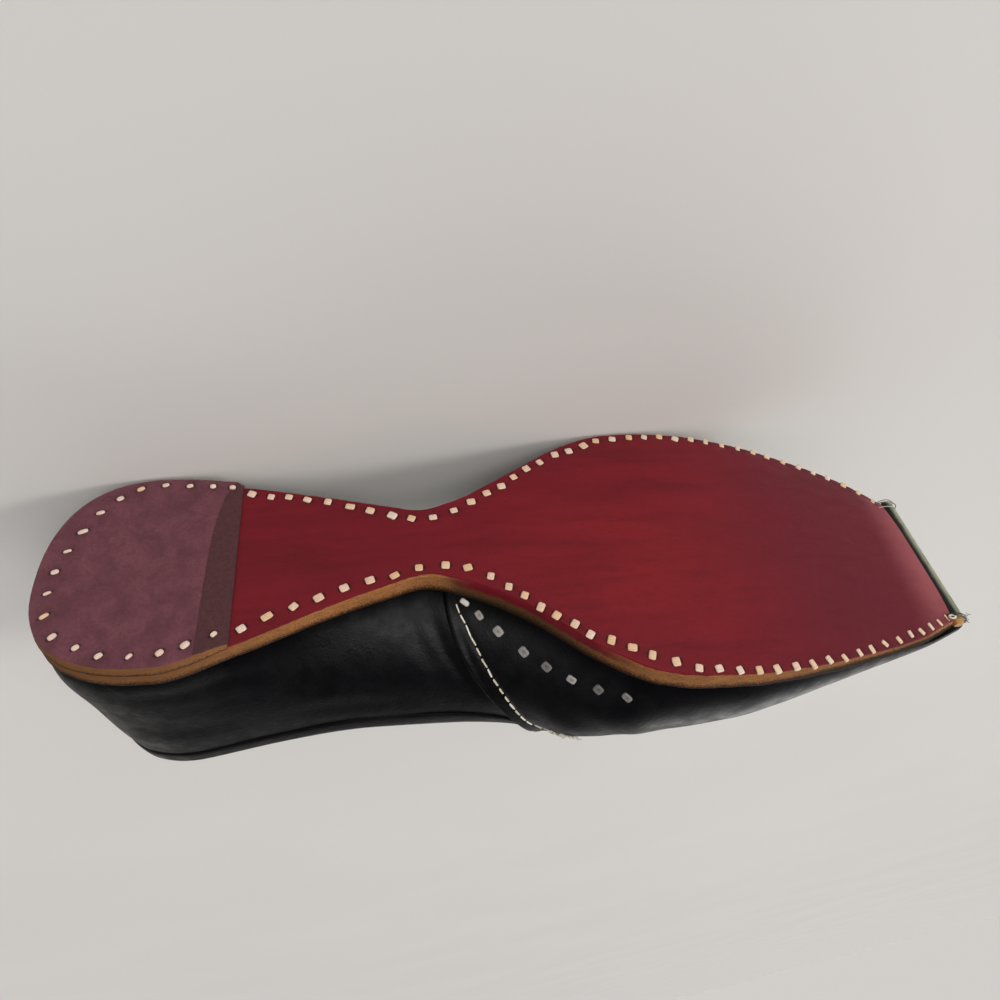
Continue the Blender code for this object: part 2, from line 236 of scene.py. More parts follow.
# How unevenly the sole is sewn, in millimetres, degrees and shares
SEAM_WANDER = 0.22
SEAM_LEAN = (-10.0, 8.0)       # mean and spread
DEEP_SHARE = 0.25              # stitches of the heel that are pulled in deep, and what is left of their size
DEEP_SIZE = (0.9, 0.55)
HEEL_SIZE = (1.02, 0.85)
SLOPE_STEP = 0.5
LIFT_STEP = 1.5                # nearer to the lift's front edge, a stitch lies level
SUNK = 0.2                     # depth of a stitch's middle, with the mean and spread of what is added, and its least
SUNK_SPREAD = (-0.05, 0.12)
SUNK_LEAST = -0.05
SIZE_ON_SOLE, SIZE_ON_LIFT, SIZE_SPREAD = 1.04, 0.9, 0.09
TONE_ON_SOLE, TONE_ON_LIFT, TONE_SPREAD = 0.5, 0.12, 0.25
STITCH_ARCH = 0.1
PIT_REACH = 1.6

# Front edge of the heel lift, thinned over a band that widens toward the inner side
SKIVE = np.array([
    # y      start_x
    (-32.0, 52.6),
    (-24.0, 49.2),
    (-8.0, 46.2),
    (10.0, 44.9),
    (28.0, 44.0),
])
LIFT_SLANT = 1.5               # how much further back the lift's front edge is at the inner side
SKIVE_EDGE = 0.5               # thickness left at the front edge
SKIVE_POWER = 1.2
SKIVE_BLUR = 0.3               # half width of its colour's border

# Lacing along the foot of the vamp, from the seam forward
LACING = np.array([
    # rib   level  long  wide  grey
    (8.28, 0.042, 3.0, 1.7, 0.00),
    (8.43, 0.075, 3.0, 2.0, 0.72),
    (8.62, 0.108, 3.2, 2.6, 0.50),
    (8.88, 0.142, 3.2, 2.5, 0.66),
    (9.15, 0.150, 3.1, 2.5, 0.96),
    (9.47, 0.142, 2.9, 2.1, 0.52),
    (9.83, 0.125, 2.9, 2.5, 0.86),
    (10.22, 0.108, 3.1, 2.0, 0.80),
])

# Running stitch beside the vamp's back edge and on round the throat
RUNNING_PASSES = 8             # how often its path is evened out
RUNNING = np.array([
    # rib   level
    (8.17, 0.060),
    (8.25, 0.142),
    (8.31, 0.233),
    (8.36, 0.358),
    (8.40, 0.480),
    (8.42, 0.600),
    (8.47, 0.695),
    (8.58, 0.735),
    (8.78, 0.738),
    (9.00, 0.730),
    (9.25, 0.730),
    (9.60, 0.752),
    (10.00, 0.785),
    (10.50, 0.825),
    (10.95, 0.865),
    (11.12, 0.900),
    (11.25, 0.945),
    (11.32, 1.000),
])

# Soft creases of the upper: where each starts and ends, its width and depth in millimetres
CREASES = np.array([
    # side rib  level end_rib end_level width depth
    (1, 7.70, 0.06, 7.84, 0.62, 2.0, 0.55),
    (1, 7.25, 0.12, 7.55, 0.50, 3.0, 0.35),
    (1, 5.00, 0.66, 7.00, 0.72, 3.5, 0.30),
    (1, 3.10, 0.50, 4.60, 0.60, 5.0, 0.30),
    (1, 3.00, 0.16, 6.40, 0.20, 3.0, 0.30),
    (1, 9.00, 0.30, 10.60, 0.50, 4.0, 0.35),
    (1, 11.90, 0.55, 12.70, 0.88, 4.5, 0.40),
    (1, 12.90, 0.50, 13.80, 0.88, 4.0, 0.30),
    (-1, 7.65, 0.08, 7.80, 0.60, 2.2, 0.50),
    (-1, 4.60, 0.60, 6.80, 0.66, 3.5, 0.30),
    (-1, 2.00, 0.50, 3.40, 0.60, 5.0, 0.35),
    (-1, 11.50, 0.45, 12.90, 0.85, 4.5, 0.40),
    (-1, 12.90, 0.40, 14.20, 0.85, 4.0, 0.30),
])

# Places where the inner side of the upper stands out a little
FULLNESS = np.array([
    # rib   level  rib_reach level_reach out
    (8.30, 1.00, 0.42, 0.32, 2.3),
    (10.40, 0.44, 0.45, 0.20, -0.5),
    (11.50, 0.34, 0.70, 0.22, 0.6),
    (12.50, 0.28, 0.70, 0.25, 0.9),
    (13.70, 0.22, 0.80, 0.25, 0.9),
    (2.30, 0.10, 1.30, 0.22, 2.2),
])
CREASE_STEPS = 40
CREASE_TAPER = 0.03            # how much of its half wave a crease lacks at each end
CREASE_RIDGE = (1.7, 0.45)     # how far from the trough the ridge lies, in widths, and how high it is, in depths

# Toe fold
FOLD_INSET = 0.6
FOLD_LOW = 0.9                 # how far its lower side lies above the sole's
FOLD_AHEAD = 2.4               # its middle before the toe line, and its half depth
FOLD_DEEP = 2.2
FOLD_SQUARE = 0.55
FOLD_END = 0.03                # share of its length over which each end is rounded off, and how slim it gets
FOLD_SLIM = 0.6

# Where the colours change along the shoe, in millimetres ahead of the back of the heel
# Painted shade on the cut edge: toward the heel, and at the waist
HEEL_EDGE_PAINTED_SHADE = (85.0, 30.0)
WAIST_EDGE_PAINTED_SHADE = (111.0, 119.0)
WAIST_EDGE_PAINTED_SHADE_END = (168.0, 144.0)
WAIST_DYE = (112.0, 123.0)
WAIST_DYE_END = (168.0, 152.0)
VAMP_SHEEN = (175.0, 235.0)
# Over which the dark upper border of the cut edge reaches further down, toward the toe
EDGE_DARK_RISE = (180.0, 262.0)
SOLE_COOL = (185.0, 250.0)
# Band along the toe line painted paler, as a sheen
TOE_PAINTED_SHEEN = (261.0, 277.0)
TOE_AMBER = (262.0, 276.0)
HOLE_SHARE = 0.65              # how strongly the awl holes are painted in as shade, and how dark that painted shade is
HOLE_DARK = 0.08


def smooth(x_rows, y_rows, x):
    """Monotone cubic curve through the rows of a table, level at the first row."""
    step = np.diff(x_rows)
    slope = np.diff(y_rows) / step
    tangent = np.zeros(len(x_rows))
    same = slope[:-1] * slope[1:] > 0
    weight_a = (2 * step[1:] + step[:-1])[same]
    weight_b = (step[1:] + 2 * step[:-1])[same]
    tangent[1:-1][same] = (weight_a + weight_b) / (weight_a / slope[:-1][same] + weight_b / slope[1:][same])
    tangent[-1] = slope[-1]
    i = int(np.clip(np.searchsorted(x_rows, x) - 1, 0, len(step) - 1))
    t = (x - x_rows[i]) / step[i]
    value = y_rows[i] + t * t * (3 - 2 * t) * (y_rows[i + 1] - y_rows[i])
    return value + step[i] * t * (1 - t) * ((1 - t) * tangent[i] - t * tangent[i + 1])


def ramp(value, start, end):
    return np.clip((value - start) / (end - start), 0.0, 1.0)


def unit(vectors):
    """Vectors brought to length 1."""
    return vectors / np.maximum(np.linalg.norm(vectors, axis=-1, keepdims=True), 1e-9)


def run_length(points, axis=0):
    """Millimetres run along rows of points, from 0 at their start."""
    step = np.linalg.norm(np.diff(points, axis=axis), axis=-1)
    return np.concatenate((np.zeros_like(step.take([0], axis)), np.cumsum(step, axis)), axis)


def ease(value, start, end):
    t = ramp(value, start, end)
    return t * t * (3 - 2 * t)


def toe_spring(x):
    return TOE_SPRING * np.maximum((x - SPRING_START_X) / (TOE_CENTRE_X - SPRING_START_X), 0) ** SPRING_POWER


def sole_bottom(x):
    return SOLE_ON_LIFT * (1 - ease(x, LIFT_TOP_X, WAIST_END_X)) + toe_spring(x)


def sole_top(x):
    return SOLE_TOP + toe_spring(x) - (SOLE_TOP - TOE_THICKNESS) * ease(x, SPRING_START_X, TOE_CENTRE_X)


def outline(side, station, inset=0.0, overhang=0.0):
    """Plan point of the sole edge and its outward direction, side +1 inner and -1 outer."""
    widths = WIDTHS[:, 1 if side > 0 else 2]
    if station < 0:
        angle = math.radians(station + 90)
        power = 2 / HEEL_SQUARENESS
        reach = widths[0] - side * HEEL_BACK_Y - inset
        x = HEEL_CENTRE_X - (HEEL_LENGTH - inset) * math.cos(angle) ** power
        y = HEEL_BACK_Y + side * reach * math.sin(angle) ** power
        return np.array((x, y)), np.array((-math.cos(angle), side * math.sin(angle)))
    x = HEEL_CENTRE_X + min(station, CORNER)
    width = smooth(WIDTHS[:, 0], widths, x) - inset
    lead = ramp(x, TOE_SKEW_START, TOE_CENTRE_X)
    point = np.array((x + lead * (side * TOE_SKEW + overhang), side * width))
    if station > CORNER:
        middle = np.array((TOE_CENTRE_X + overhang, (WIDTHS[-1, 1] - WIDTHS[-1, 2]) / 2))
        point = point + (middle - point) * ramp(station, CORNER, CORNER + TOE_LINE_STEPS)
    turn = ease(station, CORNER - TOE_TURN, CORNER + TOE_TURN) * math.pi / 2
    return point, np.array((math.sin(turn), side * math.cos(turn)))


def rib_curve(side, rib):
    """The four control points of one rib of the upper, from the sole to the collar."""
    rows = np.arange(len(RIBS), dtype=float)
    value = [smooth(rows, RIBS[:, k], rib) for k in range(RIBS.shape[1])]
    part = slice(None, RIDGE_RIB + 1) if rib < RIDGE_RIB else slice(RIDGE_RIB, None)
    for k in (TOP_X, TOP_Y):
        value[k] = smooth(rows[part], RIBS[part, k], rib)
    base, out = outline(side, value[STATION], UPPER_INSET, TOE_OVERHANG)
    shift = TOE_SHIFT * ease(value[TOP_X], TOE_SHIFT_START, TOE_CENTRE_X)
    foot = np.array((*base, sole_top(base[0]) + GAP))
    top = np.array((value[TOP_X], side * value[TOP_Y] + shift, value[TOP_Z]))
    across = unit(base - top[:2]) if rib >= RIDGE_RIB else out
    bulge = value[BASE_OUT]
    rise = value[BASE_UP]
    if side < 0 and value[STATION] > 0:
        inner, _ = outline(1, value[STATION], UPPER_INSET, TOE_OVERHANG)
        behind_toe = 1 - ease(base[0], *OUTER_RISE_END)
        bulge = min(bulge + behind_toe * (inner[1] + base[1]), OUTER_REACH + base[1])
        rise += OUTER_RISE * behind_toe * ease(base[0], *OUTER_RISE_START)
    low = foot + np.array((*(bulge * out), rise))
    high = top + np.array((*(value[TOP_OUT] * across), -value[TOP_DOWN]))
    high[0] -= value[TOP_BACK]
    return foot, low, high, top


def rib_points(side, rib, levels):
    """Points of the upper's outer face on one rib; level 0 is the sole and 1 the collar."""
    foot, low, high, top = rib_curve(side, rib)
    v = np.asarray(levels, dtype=float)[:, None]
    w = 1 - v
    return w ** 3 * foot + 3 * w * w * v * low + 3 * w * v * v * high + v ** 3 * top


def rib_spot(side, rib, level):
    """Point, outward normal and direction toward the toe at one place of the upper."""

    def at(ahead, above):
        return rib_points(side, rib + ahead, [level + above])[0]

    along = at(SPOT_STEP, 0) - at(-SPOT_STEP, 0)
    up = at(0, SPOT_STEP) - at(0, -SPOT_STEP)
    return at(0, 0), unit(np.cross(up, along) * side), unit(along)


def to_world(points):
    """Shoe millimetres to metres of the frame, laid down."""
    return (np.asarray(points) @ LIE_TURN.T + LIE_AT) * MM


def wave(points, length, seed):
    """Even noise from -1 to 1 at each point, with bumps about as long as given."""
    offset = Vector((seed * 7.3, seed * 3.1, seed * 5.7))
    values = [noise.noise(Vector(p) / length + offset) for p in points.reshape(-1, 3)]
    return np.reshape(values, points.shape[:-1])


def deselect():
    bpy.ops.object.select_all(action="DESELECT")


def activate(piece):
    """Leaves one piece selected and active."""
    deselect()
    piece.select_set(True)
    bpy.context.view_layer.objects.active = piece


@contextmanager
def whole_mesh(piece):
    """Edit mode with all of a piece selected."""
    activate(piece)
    bpy.ops.object.mode_set(mode="EDIT")
    bpy.ops.mesh.select_all(action="SELECT")
    yield
    bpy.ops.object.mode_set(mode="OBJECT")


def lay_grid(name, points, marks):
    """A grid primitive laid over points of shape (columns, rows, 3), in shoe millimetres.

    Rows crossed with columns point outwards. Marks are named values for each point.
    """
    columns, rows, _ = points.shape
    deselect()
    bpy.ops.mesh.primitive_grid_add(x_subdivisions=rows - 1, y_subdivisions=columns - 1, size=1.0)
    piece = bpy.context.object
    piece.name = name
    piece.data.name = name
    flat = points.reshape(-1, 3)
    piece.data.vertices.foreach_set("co", to_world(flat).ravel())
    put_marks(piece, {"shoe_mm": flat, **marks})
    return piece


def put_marks(piece, marks):
    """Stores named values on a piece's points, for its material to read."""
    for mark, values in marks.items():
        values = np.asarray(values, dtype=np.float32)
        vector = values.ndim > 1 and values.shape[-1] == 3
        layer = piece.data.attributes.new(mark, "FLOAT_VECTOR" if vector else "FLOAT", "POINT")
        layer.data.foreach_set("vector" if vector else "value", values.ravel())
    piece.data.update()


def close_mesh(piece, fill=False):
    """Merges doubled points and, where asked, closes the open ends."""
    with whole_mesh(piece):
        bpy.ops.mesh.remove_doubles(threshold=MERGE_DISTANCE)
        bpy.ops.mesh.dissolve_degenerate(threshold=MERGE_DISTANCE)
        if fill:
            bpy.ops.mesh.select_all(action="SELECT")
            bpy.ops.mesh.fill_holes(sides=0)


def finish_piece(piece, looks, nodes=()):
    """Gives a piece its materials and shading, and joins it to the frame."""
    for look in looks:
        piece.data.materials.append(look)
    activate(piece)
    bpy.ops.object.shade_smooth_by_angle(angle=math.radians(SMOOTH_ANGLE))
    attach(piece, "root")
    if nodes:
        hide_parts(*nodes)


def slab_piece(name, points, marks, leather, node):
    """A solid over closed rings of points."""
    piece = lay_grid(name, points, marks)
    close_mesh(piece, fill=True)
    finish_piece(piece, [leather], [node])


def skin_piece(name, points, from_sole, wall, leathers, node):
    """A skin over columns of points, thickened inward. A second leather lines it."""
    piece = lay_grid(name, points, {"from_sole": from_sole})
    close_mesh(piece)
    for leather in leathers:
        piece.data.materials.append(leather)
    made = piece.modifiers.new("Wall", "SOLIDIFY")
    made.thickness = wall * MM
    made.offset = -1.0
    made.material_offset = len(leathers) - 1
    bpy.context.view_layer.objects.active = piece
    bpy.ops.object.modifier_apply(modifier=made.name)
    finish_piece(piece, [], [node])


def inward_steps(half):
    """Distances from the edge to the middle of a cross cut, close together near the edge."""
    near = np.array((0.0, 0.3, 0.7, 1.2, 1.8, 2.4, 3.0, 3.6, 4.2, 4.8, 5.4, 6.1, 7.0, 8.2))
    near = near * min(1.0, half / 12.0)
    far = near[-1] + (half - near[-1]) * np.array((0.12, 0.25, 0.39, 0.54, 0.69, 0.85, 1.0))
    return np.concatenate((near, far))


def slab_ring(station, bottom, top, inset, side_rows):
    """One closed cross cut of a slab: underside from outer to inner, up, back over the top, down.

    Returns the points, how much each belongs to the underside, its distance from the edge, and
    how far up the cut edge it lies.
    """
    inner, _ = outline(1, station, inset)
    outer, _ = outline(-1, station, inset)
    middle = (inner + outer) / 2
    half = np.linalg.norm(inner - middle)
    toward = (inner - middle) / half
    span = half - EDGE_ROUND
    steps = inward_steps(span)
    rows = []

    def add(across, height, share, distance, up):
        rows.append((*(middle + toward * across), height, share, distance, up))

    for across in [-(span - d) for d in steps] + [span - d for d in steps[::-1][1:]]:
        distance = span - abs(across)
        x, y = middle + toward * across
        turned = EDGE_TURN * math.exp(-(distance / EDGE_TURN_REACH) ** 2)
        add(across, bottom(x, y, abs(across) / half) + turned, ramp(distance, 0.0, UNDER_FADE), distance, 0.0)
    for side, levels in ((1, side_rows), (-1, side_rows[::-1])):
        if side < 0:
            for across in np.linspace(half - TOP_INSET, -(half - TOP_INSET), 9):
                add(across, top(middle[0] + toward[0] * across), 0.0, half - abs(across), 1.0)
        for t in levels:
            across = side * (half - EDGE_ROUND * (1 - t) ** EDGE_BELLY - TOP_ROUND * ramp(t, 0.8, 1.0) ** 2)
            x, y = middle + toward * across
            low = bottom(x, y, 1.0) + EDGE_TURN
            add(across, low + (top(x) - low) * t, 0.0, 0.0, t)
    rows.append(rows[0])
    return np.array(rows)


def stack_rings(stations, bottom, top, inset=0.0, side_rows=(0.12, 0.3, 0.5, 0.7, 0.86, 0.96, 1.0)):
    """Points of a slab, and the marks of slab_ring for each."""
    rings = np.array([slab_ring(s, bottom, top, inset, side_rows) for s in stations])
    return rings[:, :, :3].copy(), {"under": rings[:, :, 3], "edge_mm": rings[:, :, 4], "edge_up": rings[:, :, 5]}


def trim_by_hand(points, marks, seed):
    """Makes a cut edge a little uneven, always inward, and returns flat points and marks."""
    flat = points.reshape(-1, 3)
    marks = {name: values.ravel() for name, values in marks.items()}
    cut = (marks["under"] < 0.5) & (marks["edge_up"] < 0.99) | (marks["edge_mm"] < 0.4)
    slip = sum(depth * (1 + wave(flat, length, seed + i)) for i, (length, depth) in enumerate(EDGE_CUTS))
    centre = np.repeat(points.mean(axis=1), points.shape[1], axis=0)
    inward = centre - flat
    inward[:, 2] = 0.0
    flat += unit(inward) * np.where(cut, slip, 0.0)[:, None]
    return flat, marks


def sole_rise(x, share):
    """How far the forefoot's underside turns up toward its edges."""
    return EDGE_ROLL * ease(x, WAIST_END_X, SPRING_START_X) * ramp(share, FLAT_SHARE, 1.0) ** 2


def skive_start(y):
    return smooth(SKIVE[:, 0], SKIVE[:, 1], float(np.clip(y, SKIVE[0, 0], SKIVE[-1, 0])))


def lift_bottom(x, y, share):
    """Ground plane, then up along the thinned front edge."""
    return (LIFT_HEIGHT - SKIVE_EDGE) * ramp(x, skive_start(y), LIFT_TOP_X + 0.01) ** SKIVE_POWER


def sole_seam(side):
    """Places of the stitches on one side of the sole: plan point, direction, station, long, wide."""
    table = INNER_SEAM if side > 0 else OUTER_SEAM

    def column(k, station):
        return smooth(table[:, SEAM_STATION], table[:, k], station)

    stations = np.concatenate((np.linspace(-90, 0, 181)[:-1], np.linspace(0, CORNER, 486)))
    edge = np.array([outline(side, s)[0] for s in stations])
    tangent = unit(np.gradient(edge, axis=0))
    inward = np.stack((tangent[:, 1], -tangent[:, 0]), axis=1) * side
    line = edge + inward * np.array([column(SEAM_INSET, s) for s in stations])[:, None]
    length = run_length(line)
    places = []
    at = 0.0 if side > 0 else column(SEAM_PITCH, -90.0)
    while at < length[-1]:
        station = float(np.interp(at, length, stations))
        point, heading = (np.array([np.interp(at, length, rows[:, k]) for k in (0, 1)]) for rows in (line, tangent))
        places.append((point, heading, station, column(SEAM_LONG, station), column(SEAM_WIDE, station)))
        at += column(SEAM_PITCH, station)
    return places


def under_height(point):
    """Height of the shoe's underside at a plan point, the heel lift included."""
    x, y = point
    if x < LIFT_TOP_X:
        return lift_bottom(x, y, 0.0)
    inner, outer = (smooth(WIDTHS[:, 0], WIDTHS[:, k], x) for k in (1, 2))
    share = abs(y - (inner - outer) / 2) / ((inner + outer) / 2)
    return sole_bottom(x) + sole_rise(x, min(share, 1.0))


def plan_sole_stitches(sizes):
    """Every stitch of the sole, each a little off its place, turn and size."""
    chance = np.random.default_rng(sizes.seed)
    plan = []
    for side in (1, -1):
        for point, heading, station, long, wide in sole_seam(side):
            point = point + chance.normal(0, SEAM_WANDER, 2)
            turn = math.radians(chance.normal(SEAM_LEAN[0] * side, SEAM_LEAN[1]))
            on_lift = station < LIFT_TOP_X - HEEL_CENTRE_X
            if on_lift:
                heading = HEEL_SLANT
                left = DEEP_SIZE if chance.uniform() < DEEP_SHARE else HEEL_SIZE
                long, wide = long * left[0], wide * left[1]
            c, s = math.cos(turn), math.sin(turn)
            along = np.array((heading[0] * c - heading[1] * s, heading[0] * s + heading[1] * c, 0.0))
            normal = np.array((0.0, 0.0, -1.0))
            if abs(point[0] - LIFT_TOP_X) > LIFT_STEP:
                for k, step in enumerate(np.eye(2) * SLOPE_STEP):
                    normal[k] = under_height(point + step) - under_height(point - step)
                normal = unit(normal)
            along = unit(along - normal * np.dot(along, normal))
            sunk = SUNK + max(chance.normal(*SUNK_SPREAD), SUNK_LEAST)
            centre = np.array((*point, under_height(point))) - normal * sunk
            size = chance.normal(SIZE_ON_LIFT if on_lift else SIZE_ON_SOLE, SIZE_SPREAD, 2)
            tone = float(np.clip(chance.normal(TONE_ON_LIFT if on_lift else TONE_ON_SOLE, TONE_SPREAD), 0, 1))
            plan.append(Stitch(centre, along, normal, long * size[0], wide * size[1], sizes.stitch_high, tone,
                               STITCH_ARCH, 0.0, on_lift))
    return plan


def press(points, centres, reach, depth, direction):
    """Presses soft round hollows into points; returns them, the press and each point's nearest centre."""
    tree = kdtree.KDTree(len(centres))
    for i, centre in enumerate(centres):
        tree.insert(Vector(centre), i)
    tree.balance()
    found = [tree.find(Vector(p)) for p in points]
    share = np.exp(-(np.array([spot[2] for spot in found]) / reach) ** 2)
    return points + direction * (depth * share)[:, None], share, [spot[1] for spot in found]


def press_stitches(flat, marks, stitches, pit):
    """Sinks the seam into an underside and marks each point's place beside its nearest stitch."""
    down = np.zeros_like(flat)
    down[:, 2] = marks["under"]
    flat, share, nearest = press(flat, [stitch.centre for stitch in stitches], PIT_REACH, pit, down)
    beside = []
    for point, i in zip(flat, nearest):
        stitch = stitches[i]
        away = point - stitch.centre
        across = np.cross(stitch.normal, stitch.along)
        beside.append((np.dot(away, stitch.along) * 2 / stitch.long, np.dot(away, across) * 2 / stitch.wide,
                       np.linalg.norm(away)))
    return flat, {**marks, "pit": share * marks["under"], "beside_stitch": np.array(beside)}


def work_slab(points, marks, sizes, swell, stitches):
    """Trims a slab's edge, swells its underside and sinks its seam. The swell is length, height and seed step."""
    flat, marks = trim_by_hand(points, marks, sizes.seed)
    length, height, step = swell
    flat[:, 2] += wave(flat * (1.0, 1.0, 0.2), length, sizes.seed + step) * height * marks["under"]
    return press_stitches(flat, marks, stitches, sizes.stitch_pit)


def toe_corner(side):
    """Plan point where the toe fold ends."""
    return outline(side, CORNER, FOLD_INSET)[0]


def crease(points, normals):
    """Pulls the soft creases into a face of the upper: a trough with a low ridge on either side."""
    flat = points.reshape(-1, 3)
    out = np.zeros(len(flat))
    t = np.linspace(0, 1, CREASE_STEPS)
    away_at, high = CREASE_RIDGE
    for side, rib, level, end_rib, end_level, width, depth in CREASES:
        path = np.array([
            rib_points(side, rib + (end_rib - rib) * share, [level + (end_level - level) * share])[0] for share in t])
        away = np.linalg.norm(flat[:, None] - path[None], axis=2)
        near = away.min(axis=1)
        fade = np.sin(math.pi * (CREASE_TAPER + (1 - 2 * CREASE_TAPER) * t[away.argmin(axis=1)]))
        ridge = high * np.exp(-((near - away_at * width) / width) ** 2)
        out += depth * fade * (ridge - np.exp(-(near / width) ** 2))
    return points + normals * out.reshape(points.shape[:2])[:, :, None]


def fullness(columns, levels):
    """How far each point of the upper stands out beyond the plain last."""
    sides, ribs = np.array(columns, dtype=float).T[:, :, None]
    levels = np.asarray(levels)
    out = 0.0
    for rib_at, level_at, rib_reach, level_reach, much in FULLNESS:
        away = ((ribs - rib_at) / rib_reach) ** 2 + ((levels - level_at) / level_reach) ** 2
        out = out + (sides > 0) * much * np.exp(-away)
    return out


class Nodes:
    """Short way to add and join the nodes of one material."""

    def __init__(self, name):
        self.look = bpy.data.materials.new(name)
        self.look.use_nodes = True
        self.tree = self.look.node_tree
        self.shader = self.tree.nodes["Principled BSDF"]

    def add(self, kind, inputs=None, **settings):
        made = self.tree.nodes.new(kind)
        for key, value in settings.items():
            setattr(made, key, value)
        for key, value in (inputs or {}).items():
            self.put(made.inputs[key], value)
        return made

    def put(self, socket, value):
        if isinstance(value, bpy.types.NodeSocket):
            self.tree.links.new(value, socket)
        else:
            socket.default_value = value

    def mark(self, name, output="Fac"):
        return self.add("ShaderNodeAttribute", attribute_name=name).outputs[output]

    def place(self, scale=(1.0, 1.0, 1.0), turn=(0.0, 0.0, 0.0)):
        """Shoe millimetres, stretched and turned."""
        source = self.mark("shoe_mm", "Vector")
        return self.add("ShaderNodeMapping", {"Vector": source, "Scale": scale, "Rotation": turn}).outputs[0]

    def cloud(self, vector, scale, detail=3.0, rough=0.55, distortion=0.0):
        return self.add("ShaderNodeTexNoise", {
            "Vector": vector, "Scale": scale, "Detail": detail, "Roughness": rough,
            "Distortion": distortion}).outputs["Fac"]

    def cells(self, vector, scale, feature="F1"):
        return self.add("ShaderNodeTexVoronoi", {"Vector": vector, "Scale": scale}, feature=feature).outputs["Distance"]

    def span(self, value, low, high, to_low=0.0, to_high=1.0):
        return self.add("ShaderNodeMapRange", {
            "Value": value, "From Min": low, "From Max": high, "To Min": to_low, "To Max": to_high},
            interpolation_type="SMOOTHSTEP").outputs[0]

    def maths(self, operation, a, b=0.0):
        made = self.add("ShaderNodeMath", operation=operation)
        self.put(made.inputs[0], a)
        self.put(made.inputs[1], b)
        return made.outputs[0]

    def times(self, a, b):
        return self.maths("MULTIPLY", a, b)

    def plus(self, a, b):
        return self.maths("ADD", a, b)

    def split(self, mark):
        return self.add("ShaderNodeSeparateXYZ", {0: self.mark(mark, "Vector")}).outputs

    def mix(self, share, a, b):
        made = self.add("ShaderNodeMix", data_type="RGBA")
        self.put(made.inputs["Factor"], share)
        for socket, value in ((made.inputs[6], a), (made.inputs[7], b)):
            self.put(socket, value if isinstance(value, bpy.types.NodeSocket) else (*value[:3], 1.0))
        return made.outputs[2]

    def mottle(self, value, colour, dark, pale):
        """One colour in two strengths."""
        return self.mix(self.span(value, 0.3, 0.7), shade(colour, dark), shade(colour, pale))

    def stain(self, base, value, between, most, colour):
        """Lays a colour over a base, the thicker the further a value has gone between two bounds."""
        return self.mix(self.span(value, *between, 0.0, most), base, colour)

    def bump(self, height, strength, distance, below=None):
        inputs = {"Height": height, "Strength": strength, "Distance": distance}
        if below is not None:
            inputs["Normal"] = below
        return self.add("ShaderNodeBump", inputs).outputs[0]

    def set(self, **values):
        for key, value in values.items():
            self.put(self.shader.inputs[key.replace("_", " ").title().replace("Ior", "IOR")], value)
        return self.look


def shade(colour, factor):
    return tuple(min(c * factor, 1.0) for c in colour)


def fibre_edge(nodes, colours):
    """Colour of a cut leather edge: tan fibres that run along the sole, darker in the pores and toward the upper, with
    painted shade toward the heel and at the waist.
    """
    bare = colours.edge_tan
    streak = nodes.cloud(nodes.place((0.3, 1.0, 1.8)), 0.7, 5.0, 0.7)
    fine = nodes.cloud(nodes.place((1.0, 1.0, 1.6)), 2.4, 4.0, 0.7)
    ahead = nodes.split("shoe_mm")["X"]
    tan = nodes.mottle(streak, bare, 0.72, 1.2)
    tan = nodes.stain(tan, fine, (0.42, 0.7), 0.75, shade(bare, 0.3))
    # Painted shade: the cut edge is darkened toward the heel and at the waist
    tan = nodes.stain(tan, ahead, HEEL_EDGE_PAINTED_SHADE, 0.75, shade(bare, 0.38))
    waist = nodes.times(nodes.span(ahead, *WAIST_EDGE_PAINTED_SHADE), nodes.span(ahead, *WAIST_EDGE_PAINTED_SHADE_END, 0.2, 1.0))
    tan = nodes.mix(nodes.times(waist, 0.85), tan, shade(bare, 0.2))
    tan = nodes.stain(tan, ahead, TOE_AMBER, 0.7, colours.edge_amber)
    # The edge is darker toward the upper, and from lower down toward the toe
    fuzz = nodes.times(nodes.maths("SUBTRACT", fine, 0.5), 1.2)
    up = nodes.plus(nodes.plus(nodes.mark("edge_up"), fuzz), nodes.span(ahead, *EDGE_DARK_RISE, 0.0, 0.55))
    return nodes.stain(tan, up, (0.45, 0.85), 1.0, shade(bare, 0.07))


def sewn(nodes, leather, colour, pit, dark):
    """Leather with painted shade in the pits of its stitches, and painted dark holes at both ends of each, where the
    thread goes in.
    """
    beside = nodes.split("beside_stitch")
    past = nodes.maths("SUBTRACT", nodes.maths("ABSOLUTE", beside["X"]), 1.1)
    aside = nodes.times(beside["Y"], 0.62)
    reach = nodes.plus(nodes.times(past, past), nodes.times(aside, aside))
    holes = nodes.times(nodes.span(reach, 0.34, 0.1), nodes.span(beside["Z"], 2.7, 2.0))
    # Painted shade in the stitch pits and in the awl holes
    leather = nodes.mix(nodes.times(nodes.mark("pit"), pit), leather, shade(colour, dark))
    return nodes.mix(nodes.times(holes, HOLE_SHARE), leather, shade(colour, HOLE_DARK))


def dye_border(nodes):
    """How far the border of the dyed underside wanders, and the share of dye."""
    wander = nodes.times(nodes.maths("SUBTRACT", nodes.cloud(nodes.place(), 0.5, 3.0), 0.5), 0.7)
    return wander, nodes.span(nodes.plus(nodes.mark("under"), wander), 0.25, 0.55)


